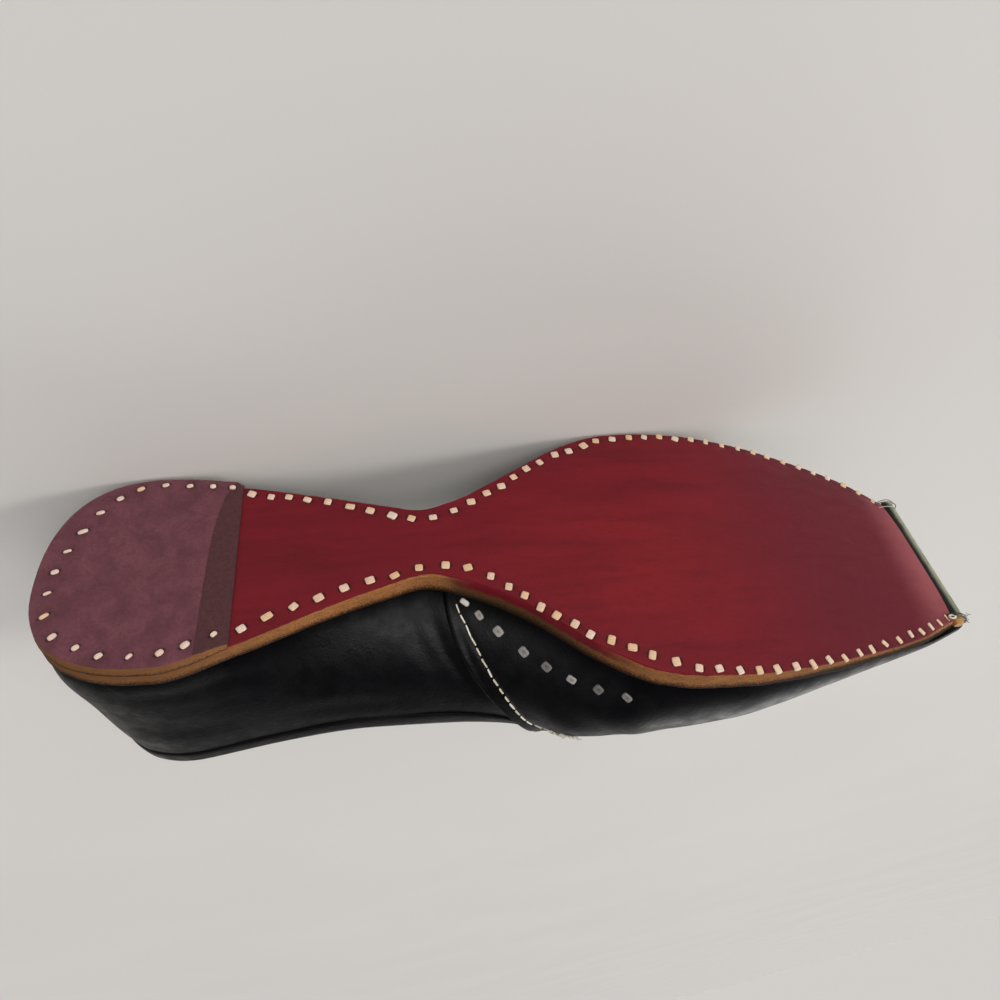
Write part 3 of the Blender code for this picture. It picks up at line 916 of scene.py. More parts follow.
def sole_look(colours):
    """Red dyed sole leather with brush streaks and a painted sheen along the toe line, bare and fibrous at its cut
    edge.
    """
    nodes = Nodes("red_sole_leather")
    deep = colours.sole_maroon
    streak = nodes.cloud(nodes.place((0.012, 0.05, 0.05), (0.0, 0.0, 0.12)), 1.0, 5.0, 0.6, 0.6)
    patch = nodes.cloud(nodes.place((0.02, 0.03, 0.03)), 1.0, 3.0, 0.5)
    weave = nodes.cloud(nodes.place((0.35, 0.9, 0.9)), 1.0, 4.0, 0.65)
    brush = nodes.cloud(nodes.place((0.022, 0.16, 0.16), (0.0, 0.0, -0.06)), 1.0, 6.0, 0.68, 0.3)
    ahead = nodes.split("shoe_mm")["X"]
    middle = nodes.add("ShaderNodeMapping", {
        "Vector": nodes.mark("shoe_mm", "Vector"), "Location": (-3.3, -0.2, 0.0), "Scale": (0.0195, 0.03, 0.0)})
    far = nodes.add("ShaderNodeVectorMath", {0: middle.outputs[0]}, operation="LENGTH").outputs["Value"]
    # Brighter red toward the middle of the forefoot
    lighter_share = nodes.times(nodes.span(far, 1.15, 0.1), nodes.span(patch, 0.3, 0.7, 0.35, 1.0))
    # Painted sheen: a paler band along the toe line, where the upturned sole mirrors the light
    painted_sheen = nodes.times(nodes.span(ahead, *TOE_PAINTED_SHEEN), nodes.span(streak, 0.2, 0.7, 0.4, 0.95))
    red = nodes.mix(nodes.span(streak, 0.25, 0.75), deep, colours.sole_red)
    red = nodes.mix(lighter_share, red, colours.sole_bright)
    red = nodes.stain(red, ahead, SOLE_COOL, 0.75, colours.sole_plum)
    red = nodes.stain(red, brush, (0.42, 0.72), 0.6, shade(deep, 0.72))
    red = nodes.stain(red, weave, (0.45, 0.8), 0.4, shade(deep, 0.7))
    red = nodes.stain(red, nodes.cells(nodes.place(), 1.3), (0.16, 0.0), 0.35, shade(deep, 0.4))
    red = nodes.mix(painted_sheen, red, colours.sole_painted_toe_sheen)
    red = sewn(nodes, red, deep, 0.6, 0.3)
    wander, dyed = dye_border(nodes)
    waist = nodes.times(nodes.span(ahead, *WAIST_DYE), nodes.span(ahead, *WAIST_DYE_END))
    low = nodes.span(nodes.plus(nodes.mark("edge_up"), nodes.times(wander, 0.4)), 0.42, 0.3)
    dyed = nodes.maths("MAXIMUM", dyed, nodes.times(waist, low))
    grain = nodes.bump(nodes.cloud(nodes.place((0.6, 1.0, 1.0)), 1.6, 5.0, 0.65), 0.16, 0.0004)
    grain = nodes.bump(nodes.cloud(nodes.place(), 0.12, 3.0), 0.25, 0.0009, grain)
    rough = nodes.span(nodes.cloud(nodes.place((0.1, 0.3, 0.3)), 1.0, 4.0), 0.3, 0.7, 0.36, 0.5)
    rough = nodes.add("ShaderNodeMix", {"Factor": dyed, "A": 0.85, "B": rough}).outputs[0]
    colour = nodes.mix(dyed, fibre_edge(nodes, colours), red)
    return nodes.set(base_color=colour, roughness=rough, normal=grain, specular_ior_level=0.22)


def lift_look(colours):
    """Plum-brown matt leather with a mottled nap, darker where its front edge is thinned."""
    nodes = Nodes("plum_lift_leather")
    fleck = nodes.cloud(nodes.place(), 0.9, 5.0, 0.75)
    plum = nodes.mottle(nodes.cloud(nodes.place(), 0.12, 5.0, 0.65, 0.4), colours.lift_plum, 0.78, 1.2)
    plum = nodes.stain(plum, fleck, (0.4, 0.75), 0.5, shade(colours.lift_plum, 0.5))
    brown = nodes.mix(nodes.span(fleck, 0.35, 0.7), colours.skive_brown, shade(colours.skive_brown, 0.7))
    plum = nodes.stain(plum, nodes.mark("skive"), (0.3, 0.6), 1.0, brown)
    plum = sewn(nodes, plum, colours.lift_plum, 0.5, 0.35)
    _, dyed = dye_border(nodes)
    colour = nodes.mix(dyed, fibre_edge(nodes, colours), plum)
    grain = nodes.bump(fleck, 0.3, 0.0004)
    return nodes.set(base_color=colour, roughness=0.78, normal=grain, specular_ior_level=0.25)


def black_look(colours):
    """Smooth black leather: fine pebbled grain, soft sheen that varies a little."""
    nodes = Nodes("black_upper_leather")
    black = nodes.mottle(nodes.cloud(nodes.place(), 0.06, 4.0, 0.6), colours.upper_black, 0.7, 1.35)
    dust = nodes.cloud(nodes.place(), 0.8, 5.0, 0.75)
    black = nodes.stain(black, dust, (0.64, 0.85), 0.06, colours.lace_grey)
    grain = nodes.bump(nodes.cells(nodes.place(), 1.5, "SMOOTH_F1"), 0.14, 0.0004)
    grain = nodes.bump(nodes.cloud(nodes.place(), 0.35, 5.0, 0.6, 0.5), 0.18, 0.0008, grain)
    rough = nodes.span(nodes.cloud(nodes.place(), 0.2, 4.0), 0.3, 0.7, 0.38, 0.54)
    sheen = nodes.plus(nodes.span(nodes.mark("from_sole"), 1.5, 9.0, 0.03, 0.21),
                       nodes.span(nodes.split("shoe_mm")["X"], *VAMP_SHEEN, 0.0, 0.14))
    return nodes.set(base_color=black, roughness=rough, normal=grain, specular_ior_level=sheen)


def black_leather(colours):
    """The upper's leather, made once and then shared."""
    return bpy.data.materials.get("black_upper_leather") or black_look(colours)


def fold_look(colours):
    """Black leather of the folded toe, painted grey olive as a sheen where it faces outward."""
    nodes = Nodes("toe_leather_painted_sheen")
    blotches = nodes.cloud(nodes.place((0.5, 0.25, 0.5)), 0.8, 5.0, 0.7)
    grey = nodes.mix(nodes.span(blotches, 0.3, 0.75), colours.fold_painted_sheen, shade(colours.fold_painted_sheen, 0.45))
    lighter_share = nodes.plus(nodes.mark("fold_out"), nodes.times(blotches, 0.3))
    # Painted sheen: the outward face of the fold is painted grey olive, in blotches
    black = nodes.stain(colours.upper_black, lighter_share, (0.55, 0.8), 1.0, grey)
    black = nodes.mix(nodes.times(nodes.mark("raw_end"), 0.9), black, colours.edge_amber)
    grain = nodes.bump(nodes.cells(nodes.place(), 1.5, "SMOOTH_F1"), 0.14, 0.0004)
    grain = nodes.bump(blotches, 0.3, 0.0008, grain)
    return nodes.set(base_color=black, roughness=0.5, normal=grain, specular_ior_level=0.3)


def lining_look(colours, name):
    """Undyed tan leather, matt, with pores and a few darker clouds."""
    nodes = Nodes(name)
    tan = nodes.mottle(nodes.cloud(nodes.place(), 0.05, 4.0, 0.6), colours.lining_tan, 0.75, 1.15)
    pores = nodes.cloud(nodes.place(), 1.4, 5.0, 0.7)
    tan = nodes.stain(tan, pores, (0.5, 0.8), 0.4, shade(colours.lining_tan, 0.5))
    return nodes.set(base_color=tan, roughness=0.8, normal=nodes.bump(pores, 0.2, 0.0004))


def thread_look(name, pale, warm):
    """Waxed thread or lace: fibres along its length, tone changing from stitch to stitch, painted shade in a lace's
    dent.
    """
    nodes = Nodes(name)
    fibre = nodes.cloud(nodes.mark("thread_mm", "Vector"), 1.6, 4.0, 0.7)
    tone = nodes.mix(nodes.mark("tone"), pale, warm)
    tone = nodes.stain(tone, fibre, (0.4, 0.75), 0.45, shade(warm, 0.55))
    # Painted shade in the dent at the middle of each lace
    tone = nodes.mix(nodes.times(nodes.mark("dimple"), 0.6), tone, shade(warm, 0.2))
    return nodes.set(base_color=tone, roughness=0.6, normal=nodes.bump(fibre, 0.35, 0.0003))


def stage_look(colours):
    """Pale matt board with a faint unevenness."""
    nodes = Nodes("pale_board")
    place = nodes.add("ShaderNodeTexCoord").outputs["Object"]
    pale = nodes.mottle(nodes.cloud(place, 3.0, 2.0), colours.floor_pale, 0.97, 1.0)
    return nodes.set(base_color=pale, roughness=0.85)


def stitch_block(rounding=0.2, cuts=0):
    """One rounded block of unit size, bevelled from a cube: its points and faces."""
    deselect()
    bpy.ops.mesh.primitive_cube_add(size=1.0)
    block = bpy.context.object
    with whole_mesh(block):
        bpy.ops.mesh.bevel(offset=rounding, offset_type="OFFSET", segments=2, affect="EDGES")
        if cuts:
            bpy.ops.mesh.select_all(action="SELECT")
            bpy.ops.mesh.subdivide(number_cuts=cuts)
    points = np.array([v.co for v in block.data.vertices])
    faces = [tuple(p.vertices) for p in block.data.polygons]
    bpy.data.objects.remove(block)
    return points, faces


def join_shapes(name, shapes):
    """Many small shapes as one piece. Each is its points in shoe millimetres, its faces and its marks."""
    faces, first = [], 0
    for points, shape_faces, _ in shapes:
        faces += [tuple(first + v for v in face) for face in shape_faces]
        first += len(points)
    points = np.concatenate([shape[0] for shape in shapes])
    mesh = bpy.data.meshes.new(name)
    mesh.from_pydata(to_world(points).tolist(), [], faces)
    piece = bpy.data.objects.new(name, mesh)
    bpy.context.collection.objects.link(piece)
    marks = {mark: np.concatenate([shape[2][mark] for shape in shapes]) for mark in shapes[0][2]}
    put_marks(piece, {"shoe_mm": points, **marks})
    return piece


def join_stitches(name, stitches, block, lift_block=None):
    """Many stitches as one mesh; those on the heel lift may have a block of their own."""
    shapes = []
    for i, stitch in enumerate(stitches):
        shape, faces = lift_block if lift_block and stitch.on_lift else block
        along = unit(stitch.along - stitch.normal * np.dot(stitch.along, stitch.normal))
        across = np.cross(stitch.normal, along)
        x, y, z = shape.T
        dimple = ramp(z, 0.0, 0.5) * np.exp(-((x / DIMPLE_REACH) ** 2 + (y / DIMPLE_REACH) ** 2)) * (stitch.dent > 0)
        lift = stitch.high * z - stitch.arch * (2 * x) ** 2 - stitch.dent * dimple
        points = stitch.centre + np.outer(x * stitch.long, along) + np.outer(y * stitch.wide, across)
        points = points + np.outer(lift, stitch.normal)
        fibres = np.stack((x * stitch.long * 0.3 + i * FIBRE_SHIFT, y * stitch.wide * 1.6, z * stitch.high), axis=1)
        shapes.append((points, faces, {"tone": np.full(len(x), stitch.tone), "thread_mm": fibres, "dimple": dimple}))
    return join_shapes(name, shapes)


def join_threads(name, threads, corners=6):
    """Loose threads as one mesh. Each is (path, thickness, tone)."""
    shapes = []
    angle = np.arange(corners) * 2 * math.pi / corners
    for i, (path, thick, tone) in enumerate(threads):
        along = unit(np.gradient(path, axis=0))
        side = unit(np.cross(along, (0.31, 0.87, 0.38)))
        other = np.cross(along, side)
        ring = np.cos(angle)[None, :, None] * side[:, None] + np.sin(angle)[None, :, None] * other[:, None]
        taper = np.linspace(1.0, THREAD_TAPER, len(path))[:, None, None] * thick / 2
        points = (path[:, None] + ring * taper).reshape(-1, 3)
        faces = [(low + c, low + (c + 1) % corners, low + corners + (c + 1) % corners, low + corners + c)
                 for low in range(0, len(points) - corners, corners) for c in range(corners)]
        faces += [tuple(reversed(range(corners))), tuple(range(len(points) - corners, len(points)))]
        shapes.append((points, faces, {
            "tone": np.full(len(points), tone), "thread_mm": points * (0.5, 1.5, 1.5) + i * FIBRE_SHIFT,
            "dimple": np.zeros(len(points))}))
    return join_shapes(name, shapes)


def running_rows():
    """Dense ribs and levels of the running stitch."""
    rows = np.arange(len(RUNNING), dtype=float)
    return [(smooth(rows, RUNNING[:, 0], t), min(smooth(rows, RUNNING[:, 1], t), 0.99))
            for t in np.linspace(0, rows[-1], 400)]


def running_path(side):
    """Points and normals of the running stitch on one side."""
    rows = running_rows()
    spots = np.array([rib_spot(side, rib, level) for rib, level in rows])
    for _ in range(RUNNING_PASSES):
        spots = soften(spots, [(side, rib) for rib, _ in rows])
    return spots[:, 0], spots[:, 1]


def chain(first):
    """Sides and ribs of the columns round the shoe, from the inner side over the toe to the outer."""
    ribs = np.concatenate([np.arange(start, end, step) for start, end, step in COLUMN_STEPS if start >= first])
    columns = [(1, r) for r in ribs] + [(1, TOE_RIB)] + [(-1, r) for r in ribs[::-1]]
    if first == HEEL_RIB:
        columns[-1] = columns[0]
    return columns


def shell_points(columns, levels):
    """Points and outward normals of the upper's face over the given columns and levels."""
    points, below, above = (
        np.array([rib_points(side, rib, np.asarray(levels) + step) for side, rib in columns])
        for step in (0.0, -SKIN_STEP, SKIN_STEP))
    return points, unit(np.cross(above - below, np.gradient(points, axis=0)))


def soft_shell(columns, levels):
    """The upper's face and normals, evened out at the throat and along the vamp's ridge."""
    points, normals = shell_points(columns, levels)
    points = soften(points, columns)
    ridge_normals(points, normals, columns)
    return points, normals


def soften(points, columns):
    """Evens out the fold where the throat's edge turns into the vamp's ridge."""
    share = np.array([0.5 * math.exp(-((rib - RIDGE_RIB) / SOFT_REACH) ** 2) for _, rib in columns])[:, None, None]
    for _ in range(SOFT_PASSES):
        even = points.copy()
        even[1:-1] = (points[:-2] + points[2:]) / 2
        points = points + share * (even - points)
    return points


def ridge_normals(points, normals, columns):
    """Turns the normals beside the vamp's ridge toward the mean of both sides."""
    below = unit(normals[:, -2] + normals[::-1, -2])
    for i, (_, rib) in enumerate(columns):
        if rib >= RIDGE_RIB - 1e-6:
            away = np.linalg.norm(points[i] - points[i, -1], axis=1)[:, None]
            normals[i] = unit(normals[i] + (below[i] - normals[i]) * np.exp(-(away / RIDGE_REACH) ** 2))


def join_ridge(points, columns):
    """Brings the two sides' top points together where they meet on the vamp's ridge."""
    last = len(columns) - 1
    for i, (side, rib) in enumerate(columns):
        if side > 0 and rib >= RIDGE_RIB - 1e-6:
            points[[i, last - i], -1] = (points[i, -1] + points[last - i, -1]) / 2


def size(name, description, default):
    return FloatProperty(name=name, description=f"{description}, in millimetres", default=default, min=0.0)


def tint(name, description, colour):
    return FloatVectorProperty(name=name, description=description, default=colour, subtype="COLOR", size=3,
                               min=0.0, max=1.0)


class MojariSizes(bpy.types.PropertyGroup):
    """Sizes of the stitching and the leathers."""

    stitch_high: size("Stitch height", "How thick a stitch of the sole is", 0.85)
    stitch_pit: size("Stitch pit", "How deep a stitch is pulled into the sole", 0.3)
    dash_long: size("Running stitch", "Length of one stitch beside the vamp's edge", 2.9)
    dash_gap: size("Running gap", "Gap between those stitches", 0.7)
    edge_roll: size("Edge roll", "How much the vamp's folded edge stands up", 0.45)
    hem_wall: size("Hem wall", "Thickness of the collar's folded hem", 0.6)
    seed: IntProperty(name="Seed", description="Start value of the small irregularities", default=4)


class MojariColours(bpy.types.PropertyGroup):
    """Colours of the leathers, threads and the stage."""

    sole_red: tint("Sole red", "Main dye of the sole", (0.178, 0.0053, 0.0127))
    sole_bright: tint("Sole bright red", "Brighter red toward the middle of the forefoot", (0.21, 0.008, 0.012))
    sole_maroon: tint("Sole maroon", "Where the dye has gathered", (0.137, 0.0038, 0.0108))
    sole_plum: tint("Sole plum", "Where the dye turns cooler toward the toe", (0.10, 0.005, 0.015))
    # Painted sheen along the toe line
    sole_painted_toe_sheen: tint("Sole painted toe sheen", "Painted sheen along the toe line", (0.30, 0.076, 0.088))
    edge_tan: tint("Edge tan", "Cut edge of the sole", (0.34, 0.138, 0.043))
    edge_amber: tint("Edge amber", "Cut edge near the toe corners", (0.45, 0.21, 0.05))
    lift_plum: tint("Lift plum", "Heel lift", (0.135, 0.044, 0.058))
    skive_brown: tint("Skive brown", "Thinned front edge of the lift", (0.078, 0.027, 0.030))
    upper_black: tint("Upper black", "Upper leather", (0.0026, 0.0022, 0.0030))
    lining_tan: tint("Lining tan", "Lining and insole", (0.33, 0.19, 0.095))
    thread_cream: tint("Thread cream", "Palest sole stitches", (0.78, 0.61, 0.51))
    thread_warm: tint("Thread warm", "Yellowest sole stitches", (0.74, 0.46, 0.24))
    thread_white: tint("Thread white", "Running stitch", (0.80, 0.78, 0.69))
    thread_dull: tint("Thread dull", "Running stitch where it is dirty", (0.64, 0.59, 0.43))
    fray_dull: tint("Fray dull", "Frayed ends where they are dirty", (0.55, 0.47, 0.27))
    whip_dark: tint("Whip dark", "Blackened threads of the toe corners", (0.03, 0.03, 0.028))
    lace_pale: tint("Lace pale", "Lacing on the vamp where it is clean", (0.62, 0.58, 0.52))
    lace_grey: tint("Lace grey", "Lacing on the vamp", (0.13, 0.125, 0.125))
    # Painted sheen on the toe fold
    fold_painted_sheen: tint("Fold painted sheen", "Painted sheen on the outward face of the toe fold", (0.36, 0.385, 0.265))
    floor_pale: tint("Floor", "Floor of the stage", (0.72, 0.70, 0.67))


class MOJARI_OT_outsole(bpy.types.Operator):
    """Thick sole with pressed-in seam, turned-up edges and a bare cut edge"""

    bl_idname = "mojari.outsole"
    bl_label = "Outsole"

    SWELL = (26.0, 0.18, 0)     # length and height of the unevenness, and its step of the seed

    def execute(self, context):
        sizes = context.scene.mojari_sizes
        stations = [*np.linspace(-89, -2, 44), *np.arange(0, CORNER - 1, 0.95), CORNER - 0.6, CORNER - 0.25, CORNER]
        points, marks = stack_rings(stations, lambda x, y, share: sole_bottom(x) + sole_rise(x, share), sole_top)
        flat, marks = work_slab(points, marks, sizes, self.SWELL, plan_sole_stitches(sizes))
        slab_piece("outsole_leather", flat.reshape(points.shape), marks, sole_look(context.scene.mojari_colours),
                   "outsole")
        return {"FINISHED"}


class MOJARI_OT_heel_lift(bpy.types.Operator):
    """Thin leather lift under the heel, its front edge thinned"""

    bl_idname = "mojari.heel_lift"
    bl_label = "Heel lift"

    SWELL = (18.0, 0.12, 1)     # length and height of the unevenness, and its step of the seed

    def execute(self, context):
        sizes = context.scene.mojari_sizes
        front = LIFT_TOP_X - HEEL_CENTRE_X
        stations = [*np.linspace(-89, -1.5, 60), *np.arange(0, 9, 0.9), *np.arange(9, front, 0.45), front]
        points, marks = stack_rings(stations, lift_bottom, lambda x: LIFT_HEIGHT + LIFT_OVERLAP)
        marks["under"][-1] = 1.0
        stitches = [s for s in plan_sole_stitches(sizes) if s.on_lift]
        flat, marks = work_slab(points, marks, sizes, self.SWELL, stitches)
        starts = np.array([skive_start(y) for y in flat[:, 1]])
        marks["skive"] = ramp(flat[:, 0], starts - SKIVE_BLUR, starts + SKIVE_BLUR)
        ahead = ease(flat[:, 0], SKIVE[-1, 1], LIFT_TOP_X)
        flat[:, 0] -= LIFT_SLANT * ahead * ramp(flat[:, 1], SKIVE[0, 0], SKIVE[-1, 0])
        slab_piece("heel_lift_leather", flat.reshape(points.shape), marks, lift_look(context.scene.mojari_colours),
                   "heel_lift")
        return {"FINISHED"}


class MOJARI_OT_insole(bpy.types.Operator):
    """Plain leather sock on the sole"""

    bl_idname = "mojari.insole"
    bl_label = "Insole"

    SEAT = 0.05                 # height of its underside over the sole
    SWELL = (30.0, 0.12)        # length and height of the unevenness

    def execute(self, context):
        toe = CORNER - INSOLE_TOE_GAP
        stations = [*np.linspace(-86, -4, 24), *np.arange(0, toe, 3.0), toe]
        points, _ = stack_rings(
            stations, lambda x, y, share: sole_top(x) + self.SEAT, lambda x: sole_top(x) + GAP + INSOLE_THICKNESS,
            INSOLE_INSET, (0.2, 0.6, 0.9, 1.0))
        length, height = self.SWELL
        points[:, :, 2] += wave(points, length, context.scene.mojari_sizes.seed + 2) * height
        leather = lining_look(context.scene.mojari_colours, "tan_sock")
        slab_piece("insole_leather_sock", points, {}, leather, "insole")
        return {"FINISHED"}


class MOJARI_OT_upper(bpy.types.Operator):
    """Hollow upper: quarters outside, tan lining inside"""

    bl_idname = "mojari.upper"
    bl_label = "Upper"

    SWELL = (24.0, 0.25)        # length and height of the unevenness, and how deep its mean lies
    SWELL_DEPTH = 0.1

    def execute(self, context):
        colours = context.scene.mojari_colours
        columns = chain(HEEL_RIB)
        levels = np.linspace(0, 1, 41)
        points, normals = soft_shell(columns, levels)
        join_ridge(points, columns)
        length, height = self.SWELL
        soft = wave(points, length, context.scene.mojari_sizes.seed + 3)
        out = fullness(columns, levels) + height * soft - self.SWELL_DEPTH
        points = crease(points, normals) + normals * out[:, :, None]
        join_ridge(points, columns)
        leathers = black_leather(colours), lining_look(colours, "tan_lining")
        skin_piece("upper_quarters", points, run_length(points, 1), UPPER_WALL, leathers, "upper")
        return {"FINISHED"}


class MOJARI_OT_vamp(bpy.types.Operator):
    """Outer leather of the forefoot with a rolled back edge and a pulled-in stitch line"""

    bl_idname = "mojari.vamp"
    bl_label = "Vamp"

    EDGE_ROUNDED = 1.2          # distance over which the back edge is rounded down
    ROLL_AT = 1.7               # middle and half width of the rolled edge
    ROLL_WIDE = 1.2
    THROAT_DOWN = 0.5           # how far the throat's edge is drawn in
    SWELL = (30.0, 0.2)         # length and height of the unevenness, and how deep its mean lies
    SWELL_DEPTH = 0.2
    STITCH_PULL = (0.9, -0.4)   # reach and depth of the hollows along the stitches and the lacing
    LACE_PULL = (2.6, -0.35)

    def execute(self, context):
        sizes = context.scene.mojari_sizes
        columns = chain(SEAM_RIB)
        levels = np.concatenate(((0.004, 0.02), np.linspace(0.045, 1, 44)))
        points, normals = soft_shell(columns, levels)
        from_start = run_length(points)
        from_edge = np.minimum(from_start, from_start[-1] - from_start)
        height = VAMP_FACE * np.sqrt(1 - (1 - ramp(from_edge, 0.0, self.EDGE_ROUNDED)) ** 2)
        height += sizes.edge_roll * np.exp(-((from_edge - self.ROLL_AT) / self.ROLL_WIDE) ** 2)
        throat = np.array([rib < RIDGE_RIB for _, rib in columns])[:, None]
        height -= self.THROAT_DOWN * throat * ramp(levels, 0.99, 1.0)[None, :] ** 2
        length, swell = self.SWELL
        height += fullness(columns, levels) + swell * wave(points, length, sizes.seed + 4) - self.SWELL_DEPTH
        points = crease(points, normals) + normals * height[:, :, None]
        path = np.concatenate([spots + normal * VAMP_FACE for spots, normal in map(running_path, (1, -1))])
        laces = np.array([rib_spot(side, row[0], row[1])[0] for side in (1, -1) for row in LACING])
        flat = points.reshape(-1, 3)
        for centres, pull in ((path, self.STITCH_PULL), (laces, self.LACE_PULL)):
            flat, _, _ = press(flat, centres, *pull, normals.reshape(-1, 3))
        points = flat.reshape(points.shape)
        join_ridge(points, columns)
        leather = black_leather(context.scene.mojari_colours)
        skin_piece("vamp_leather", points, run_length(points, 1), VAMP_WALL, [leather], "vamp")
        return {"FINISHED"}


class MOJARI_OT_collar_hem(bpy.types.Operator):
    """Hem folded over the quarters' top edge"""

    bl_idname = "mojari.collar_hem"
    bl_label = "Collar hem"

    SEAM_RISE = 1.3             # how much taller the inner hem is toward the seam, and between which ribs it rises
    SEAM_RISE_RIBS = (4.5, 7.0)
    FROM_SOLE = 50.0            # far enough up for the full sheen
    # level, distance outward and rise over the collar's edge, from outside to inside
    FOLD = ((0.905, 0.02, 0.0), (0.912, 0.3, 0.0), (0.925, 0.5, 0.0), (0.95, 0.62, 0.0), (0.98, 0.7, 0.0),
            (1.0, 0.7, 0.0), (1.0, 0.7, 0.7), (1.0, 0.5, 1.35), (1.0, -0.1, 1.75), (1.0, -1.0, 1.85),
            (1.0, -1.9, 1.7), (1.0, -2.5, 1.2), (1.0, -2.75, 0.4), (0.97, -2.8, 0.0), (0.94, -2.7, 0.0),
            (0.92, -2.4, 0.0), (0.915, -2.0, 0.0))

    def execute(self, context):
        ribs = np.arange(HEEL_RIB, SEAM_RIB + HEM_OVERLAP, 0.07)
        columns = [(-1, r) for r in ribs[::-1]] + [(1, r) for r in ribs[1:]]
        levels, out, rise = np.array(self.FOLD).T
        points, normals = shell_points(columns, levels)
        below, _ = shell_points(columns, [0.97])
        top, _ = shell_points(columns, [1.0])
        taller = np.array([1 + self.SEAM_RISE * ease(rib, *self.SEAM_RISE_RIBS) * (side > 0) for side, rib in columns])
        out = out + fullness(columns, levels)
        up = unit(top - below) * rise[None, :, None] * taller[:, None, None]
        points = points + normals * out[:, :, None] + up
        from_sole = np.full(points.shape[:2], self.FROM_SOLE)
        leather = black_leather(context.scene.mojari_colours)
        skin_piece("collar_hem_leather", points, from_sole, context.scene.mojari_sizes.hem_wall, [leather],
                   "collar_binding")
        return {"FINISHED"}


class MOJARI_OT_toe_fold(bpy.types.Operator):
    """End of the vamp, folded under in front of the sole's toe line"""

    bl_idname = "mojari.toe_fold"
    bl_label = "Toe fold"

    TURN = np.linspace(0, 2 * math.pi, 25)
    RAW_END = (0.945, 0.975)            # share of its length where the raw end shows
    WAVE = 7.0                          # length and height of the unevenness
    WAVE_HIGH = np.array((0.18, 0.0, 0.18))

    def execute(self, context):
        inner, outer = toe_corner(1), toe_corner(-1)
        shares = np.linspace(0, 1, 61)
        rings = []
        for share in shares:
            x, y = outer + (inner - outer) * share
            end = 1 - (1 - min(1.0, min(share, 1 - share) / FOLD_END)) ** 2
            low, high = sole_bottom(x) + FOLD_LOW, sole_top(x)
            c, s = (np.sign(v) * np.abs(v) ** FOLD_SQUARE * (FOLD_SLIM + (1 - FOLD_SLIM) * end)
                    for v in (np.cos(self.TURN), np.sin(self.TURN)))
            rings.append(np.stack((
                x + FOLD_AHEAD + FOLD_DEEP * c, np.full(len(c), y), (low + high) / 2 + (high - low) / 2 * s), axis=1))
        points = np.array(rings)
        points += wave(points, self.WAVE, context.scene.mojari_sizes.seed + 5)[:, :, None] * self.WAVE_HIGH
        points[:, -1] = points[:, 0]
        # How far each point faces outward, where the material paints a sheen
        out = np.tile(np.cos(self.TURN) * 0.5 + 0.5, (len(points), 1))
        raw_end = np.tile(ramp(shares, *self.RAW_END)[:, None], (1, len(self.TURN)))
        piece = lay_grid("toe_fold_leather", points, {"fold_out": out, "raw_end": raw_end})
        close_mesh(piece, fill=True)
        with whole_mesh(piece):
            bpy.ops.mesh.normals_make_consistent(inside=False)
        finish_piece(piece, [fold_look(context.scene.mojari_colours)], ["toe_fold"])
        return {"FINISHED"}


class MOJARI_OT_sole_stitches(bpy.types.Operator):
    """Cream hand stitches round the sole and the heel lift"""

    bl_idname = "mojari.sole_stitches"
    bl_label = "Sole stitches"

    LIFT_ROUNDING = 0.34        # stitches of the heel lift are rounder

    def execute(self, context):
        colours = context.scene.mojari_colours
        stitches = plan_sole_stitches(context.scene.mojari_sizes)
        piece = join_stitches("sole_stitches", stitches, stitch_block(), stitch_block(self.LIFT_ROUNDING))
        thread = thread_look("cream_sole_thread", colours.thread_cream, colours.thread_warm)
        finish_piece(piece, [thread])
        return {"FINISHED"}


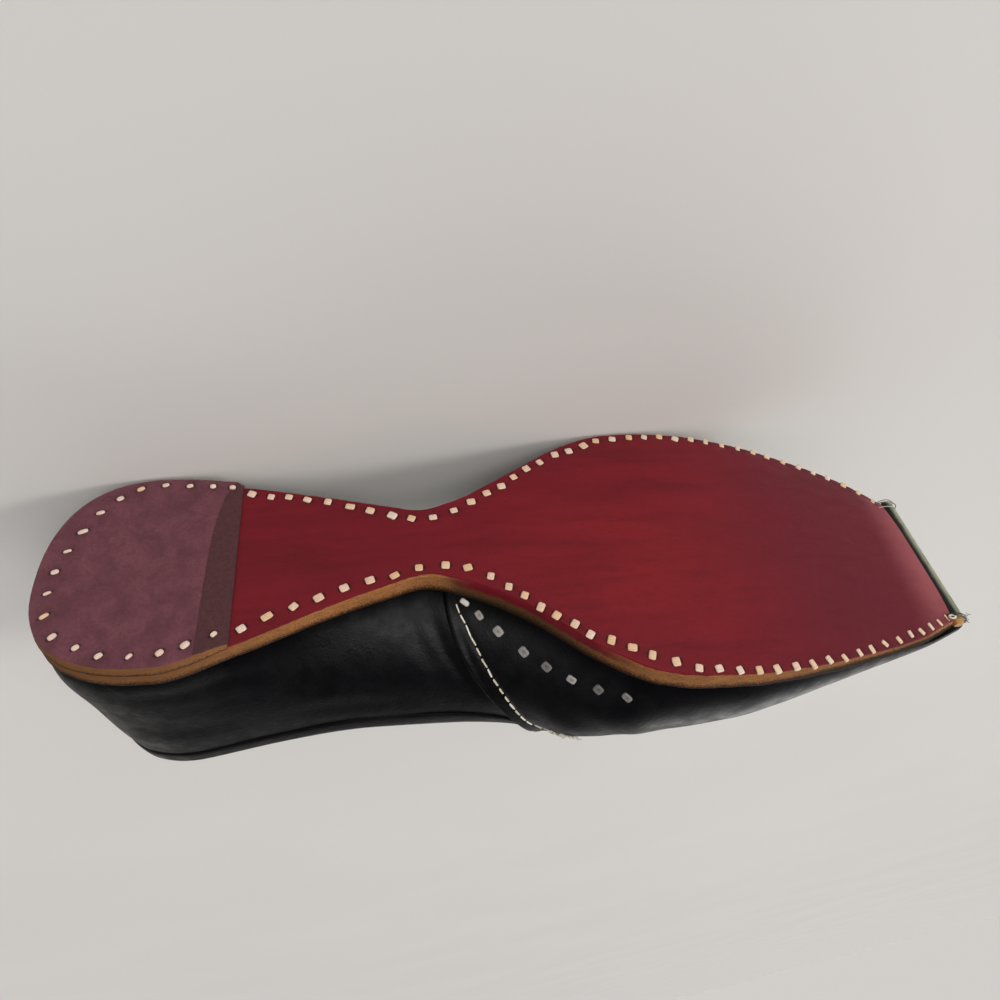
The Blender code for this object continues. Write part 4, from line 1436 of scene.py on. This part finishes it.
class MOJARI_OT_vamp_stitches(bpy.types.Operator):
    """Grey lacing along the foot of the vamp and the white running stitch beside its edge"""

    bl_idname = "mojari.vamp_stitches"
    bl_label = "Vamp stitches"

    LACE_LEAN = (-24.0, 7.0)            # mean and spread, in degrees
    LACE_HIGH, LACE_ARCH, LACE_SUNK = 1.5, 0.2, 0.45
    LACE_DENT = 0.4                     # of the darkest lace
    LACE_TONE_SPREAD = 0.04
    LACE_ROUNDING, LACE_CUTS = 0.26, 2
    DASH_WIDE, DASH_HIGH, DASH_ARCH, DASH_SUNK = 0.46, 0.6, 0.16, 0.3
    DASH_START, DASH_END = 1.2, 1.0     # distance from the ends of the line
    DASH_TURN, DASH_SPREAD = 0.06, 0.16

    def execute(self, context):
        sizes = context.scene.mojari_sizes
        colours = context.scene.mojari_colours
        chance = np.random.default_rng(sizes.seed + 10)
        laces = []
        for side in (1, -1):
            for rib, level, long, wide, grey in LACING:
                point, normal, along = rib_spot(side, rib, level)
                turn = math.radians(chance.normal(self.LACE_LEAN[0] * side, self.LACE_LEAN[1]))
                along = along * math.cos(turn) + np.cross(normal, along) * math.sin(turn)
                tone = float(np.clip(grey + chance.normal(0.0, self.LACE_TONE_SPREAD), 0, 1))
                centre = point + normal * (VAMP_FACE - self.LACE_SUNK)
                laces.append(Stitch(centre, along, normal, long, wide, self.LACE_HIGH, tone, self.LACE_ARCH,
                                    self.LACE_DENT * grey, False))
        piece = join_stitches("vamp_lacing", laces, stitch_block(self.LACE_ROUNDING, self.LACE_CUTS))
        finish_piece(piece, [thread_look("grey_lace", colours.lace_pale, colours.lace_grey)])
        dashes = []
        for side in (1, -1):
            spots, normals = running_path(side)
            full = np.array([fullness([(side, rib)], [level])[0, 0] for rib, level in running_rows()])
            line = spots + normals * (VAMP_FACE - self.DASH_SUNK + full)[:, None]
            length = run_length(line)
            at = self.DASH_START
            while at < length[-1] - self.DASH_END:
                i = int(np.searchsorted(length, at))
                along = unit(line[min(i + 2, len(line) - 1)] - line[max(i - 2, 0)])
                along = along + np.cross(normals[i], along) * chance.normal(0.0, self.DASH_TURN)
                long = sizes.dash_long * chance.normal(1.0, self.DASH_SPREAD)
                tone = float(chance.uniform(0, 1.0))
                dashes.append(Stitch(line[i], along, normals[i], long, self.DASH_WIDE, self.DASH_HIGH, tone,
                                     self.DASH_ARCH, 0.0, False))
                at += sizes.dash_long + sizes.dash_gap
        piece = join_stitches("vamp_running_stitch", dashes, stitch_block())
        finish_piece(piece, [thread_look("white_thread", colours.thread_white, colours.thread_dull)])
        return {"FINISHED"}


class MOJARI_OT_thread_ends(bpy.types.Operator):
    """Frayed ends at the throat and whip stitches at the corners of the toe"""

    bl_idname = "mojari.thread_ends"
    bl_label = "Thread ends"

    # side, rib and level of each tuft, how many threads, how far along it spreads and how long they are
    TUFTS = ((1, 8.98, 0.685, 26, 1.1, 1.4), (1, 9.22, 0.645, 44, 1.6, 1.5), (-1, 9.0, 0.735, 8, 1.2, 1.2))
    # toe corner side, distance in from the corner, reach of the loop, thickness, tone, first and last turn
    WHIPS = ((-1, 0.9, 0.97, 0.4, 0.75, -165.0, 80.0), (-1, 2.1, 1.15, 0.4, 0.9, -150.0, 95.0),
             (-1, 3.4, 0.98, 0.36, 0.35, -160.0, 40.0), (1, 1.2, 0.95, 0.5, 0.9, -170.0, 20.0),
             (1, 2.4, 0.97, 0.4, 1.0, -165.0, 70.0))

    TUFT_SUNK, TUFT_WIDE, TUFT_CURL = 0.2, 0.35, 0.35
    TUFT_LONG, TUFT_THICK, TUFT_TONE = (0.5, 1.2), (0.24, 0.5), (0.0, 0.5)
    KNOT_THICK, FRAY_THICK, FRAY_LONG = 0.6, 0.22, 1.5
    LOOP_AHEAD = 1.2            # middle of the whip stitches before the toe line, and their half depth and height
    LOOP_DEEP = 3.9
    LOOP_HIGH = 3.1
    CORNER_FRAYS = 7
    STEPS = np.linspace(0, 1, 9)[:, None]

    def tufts(self, chance):
        """Loose threads beside the throat."""
        t = self.STEPS
        for side, rib, level, count, spread, reach in self.TUFTS:
            point, normal, along = rib_spot(side, rib, level)
            across = np.cross(normal, along)
            lift = VAMP_FACE - self.TUFT_SUNK + fullness([(side, rib)], [level])[0, 0]
            for _ in range(count):
                start = point + normal * lift + along * chance.normal(0, spread)
                start = start + across * chance.normal(0, self.TUFT_WIDE)
                length = reach * chance.uniform(*self.TUFT_LONG)
                drift = along * chance.normal(0.3, 0.7) + across * chance.normal(0, 0.6)
                curl = self.TUFT_CURL * np.sin(t * chance.uniform(4, 8) + chance.uniform(0, 6))
                path = start + drift * t * length + normal * (np.sin(t * 2.4) * 0.5 * length) + across * curl
                yield path, chance.uniform(*self.TUFT_THICK), chance.uniform(*self.TUFT_TONE)

    def whips(self, chance):
        """Whip stitches over both toe corners, and a knot and frayed ends at the inner one."""
        for side, inward, reach, thick, tone, first, last in self.WHIPS:
            x, y = toe_corner(side)
            middle = (sole_bottom(x) + sole_top(x)) / 2
            turn = np.radians(np.linspace(first, last, 22))
            sway = 0.3 * np.sin(turn * 1.7 + inward)
            yield np.stack((x + self.LOOP_AHEAD + self.LOOP_DEEP * reach * np.cos(turn), y - side * inward + sway,
                            middle + self.LOOP_HIGH * reach * np.sin(turn)), axis=1), thick, tone
        x, y = toe_corner(1)
        low = sole_bottom(x)
        knot = np.linspace(0, 3 * math.pi, 30)
        yield np.stack((x - 1.0 + np.cos(knot), y - 1.6 + 0.7 * np.sin(knot),
                        low - 0.15 - 0.25 * np.cos(knot * 0.66)), axis=1), self.KNOT_THICK, 0.0
        t = self.STEPS
        for _ in range(self.CORNER_FRAYS):
            start = np.array((x + 3.6, y - chance.uniform(0, 2.0), low + chance.uniform(0.5, 3.0)))
            drift = np.array((chance.uniform(0.4, 1.3), chance.normal(0.6, 0.6), chance.normal(0, 0.8)))
            curl = np.array((0.0, 0.3, 0.3)) * np.sin(t * 5 + chance.uniform(0, 6))
            yield start + drift * t * self.FRAY_LONG + curl, self.FRAY_THICK, 1.0

    def execute(self, context):
        colours = context.scene.mojari_colours
        chance = np.random.default_rng(context.scene.mojari_sizes.seed + 20)
        for name, threads, look, dull in (
                ("throat_thread_ends", self.tufts, "frayed_thread", colours.fray_dull),
                ("toe_corner_whips", self.whips, "whip_thread", colours.whip_dark)):
            piece = join_threads(name, threads(chance))
            finish_piece(piece, [thread_look(look, colours.thread_white, dull)])
        return {"FINISHED"}


class MOJARI_OT_stage(bpy.types.Operator):
    """Pale floor, soft studio light and the camera"""

    bl_idname = "mojari.stage"
    bl_label = "Stage"

    # Place, picture right, picture up and back of the camera, in the frame
    CAMERA_AT = (0.0605668, -0.2522170, 0.1670815)
    CAMERA_AXES = ((-0.971531, -0.104311, 0.212715), (-0.118825, -0.562218, -0.818408),
                   (0.204961, -0.820384, 0.533817))
    LENS = 30.447
    FLOOR_SIZE = 60.0
    WALL_LIGHT = (0.64, 0.62, 0.59)         # pale walls, dim ceiling
    CEILING_LIGHT = (0.045, 0.045, 0.05)
    WALL_TOP = 0.1                          # sine of the height at which the wall begins to dim
    CEILING_START = 0.7                     # sine of the height at which the ceiling begins
    SENSOR = 36.0

    LIGHTS = (
        # name, kind, place, aimed at, radius or spread in degrees, power, colour
        ("key", "SUN", (-0.75, -0.30, 0.60), (0.0, 0.0, 0.0), 16.0, 0.60, (1.0, 0.965, 0.91)),
        ("front", "SUN", (-0.15, -0.85, 0.45), (0.0, 0.0, 0.0), 40.0, 1.35, (0.99, 0.985, 0.98)),
        ("wall", "SUN", (-0.48, 0.75, 0.46), (0.0, 0.0, 0.0), 40.0, 0.75, (1.0, 0.99, 0.97)),
        ("window", "POINT", (-1.25, -0.45, 0.80), (-0.25, 0.0, 0.0), 0.3, 9.0, (1.0, 0.985, 0.96)),
        ("overhead", "SUN", (0.0, 0.0, 1.0), (0.0, 0.0, 0.0), 120.0, 0.85, (0.99, 0.99, 1.0)),
    )

    def execute(self, context):
        scene = context.scene
        deselect()
        bpy.ops.mesh.primitive_grid_add(x_subdivisions=8, y_subdivisions=8, size=self.FLOOR_SIZE)
        floor = bpy.context.object
        floor.name = "stage_floor"
        floor.data.materials.append(stage_look(scene.mojari_colours))
        for name, kind, at, aim, size, power, colour in self.LIGHTS:
            bpy.ops.object.light_add(type=kind, location=at)
            lamp = bpy.context.object
            lamp.name = name
            if kind == "SUN":
                lamp.data.angle = math.radians(size)
            else:
                lamp.data.shadow_soft_size = size
            lamp.visible_glossy = name != "overhead"     # lights the floor, draws no sheen on the leather
            lamp.data.energy = power
            lamp.data.color = colour
            lamp.rotation_euler = (Vector(aim) - Vector(at)).to_track_quat("-Z", "Y").to_euler()
        world = bpy.data.worlds.new("studio")
        world.use_nodes = True
        tree = world.node_tree
        background = tree.nodes["Background"]
        background.inputs["Strength"].default_value = 1.0
        aim = tree.nodes.new("ShaderNodeSeparateXYZ")
        tree.links.new(tree.nodes.new("ShaderNodeTexCoord").outputs["Generated"], aim.inputs[0])
        sky = tree.nodes.new("ShaderNodeValToRGB")
        tree.links.new(aim.outputs["Z"], sky.inputs[0])
        sky.color_ramp.elements[0].color = (*self.WALL_LIGHT, 1.0)
        sky.color_ramp.elements[0].position = self.WALL_TOP
        sky.color_ramp.elements[1].color = (*self.CEILING_LIGHT, 1.0)
        sky.color_ramp.elements[1].position = self.CEILING_START
        tree.links.new(sky.outputs[0], background.inputs["Color"])
        scene.world = world
        scene.view_settings.view_transform = "Standard"
        bpy.ops.object.camera_add(location=self.CAMERA_AT)
        camera = bpy.context.object
        camera.name = "camera"
        turn = Matrix(self.CAMERA_AXES).transposed().to_4x4()
        camera.matrix_world = Matrix.Translation(self.CAMERA_AT) @ turn
        camera.data.sensor_width = self.SENSOR
        camera.data.lens = self.LENS
        camera.data.clip_start = 0.01
        scene.camera = camera
        return {"FINISHED"}


PIECES = (
    MOJARI_OT_outsole, MOJARI_OT_heel_lift, MOJARI_OT_insole, MOJARI_OT_upper, MOJARI_OT_vamp,
    MOJARI_OT_collar_hem, MOJARI_OT_toe_fold, MOJARI_OT_sole_stitches, MOJARI_OT_vamp_stitches,
    MOJARI_OT_thread_ends, MOJARI_OT_stage,
)


class MOJARI_PT_pieces(bpy.types.Panel):
    """Lists the pieces, sizes and colours of the mojari"""

    bl_idname = "MOJARI_PT_pieces"
    bl_label = "Mojari"
    bl_space_type = "VIEW_3D"
    bl_region_type = "UI"
    bl_category = "Mojari"

    def draw(self, context):
        for piece in PIECES:
            self.layout.operator(piece.bl_idname)
        for group in (context.scene.mojari_sizes, context.scene.mojari_colours):
            for name in group.bl_rna.properties.keys():
                if name not in ("rna_type", "name"):
                    self.layout.prop(group, name)


CLASSES = (MojariSizes, MojariColours, *PIECES, MOJARI_PT_pieces)


def register():
    for cls in CLASSES:
        bpy.utils.register_class(cls)
    bpy.types.Scene.mojari_sizes = PointerProperty(type=MojariSizes)
    bpy.types.Scene.mojari_colours = PointerProperty(type=MojariColours)


def unregister():
    del bpy.types.Scene.mojari_colours
    del bpy.types.Scene.mojari_sizes
    for cls in reversed(CLASSES):
        bpy.utils.unregister_class(cls)


def main():
    register()
    bpy.ops.mojari.outsole()
    bpy.ops.mojari.heel_lift()
    bpy.ops.mojari.insole()
    bpy.ops.mojari.upper()
    bpy.ops.mojari.vamp()
    bpy.ops.mojari.collar_hem()
    bpy.ops.mojari.toe_fold()
    bpy.ops.mojari.sole_stitches()
    bpy.ops.mojari.vamp_stitches()
    bpy.ops.mojari.thread_ends()
    bpy.ops.mojari.stage()
    bpy.context.view_layer.update()


if __name__ == "__main__":
    main()
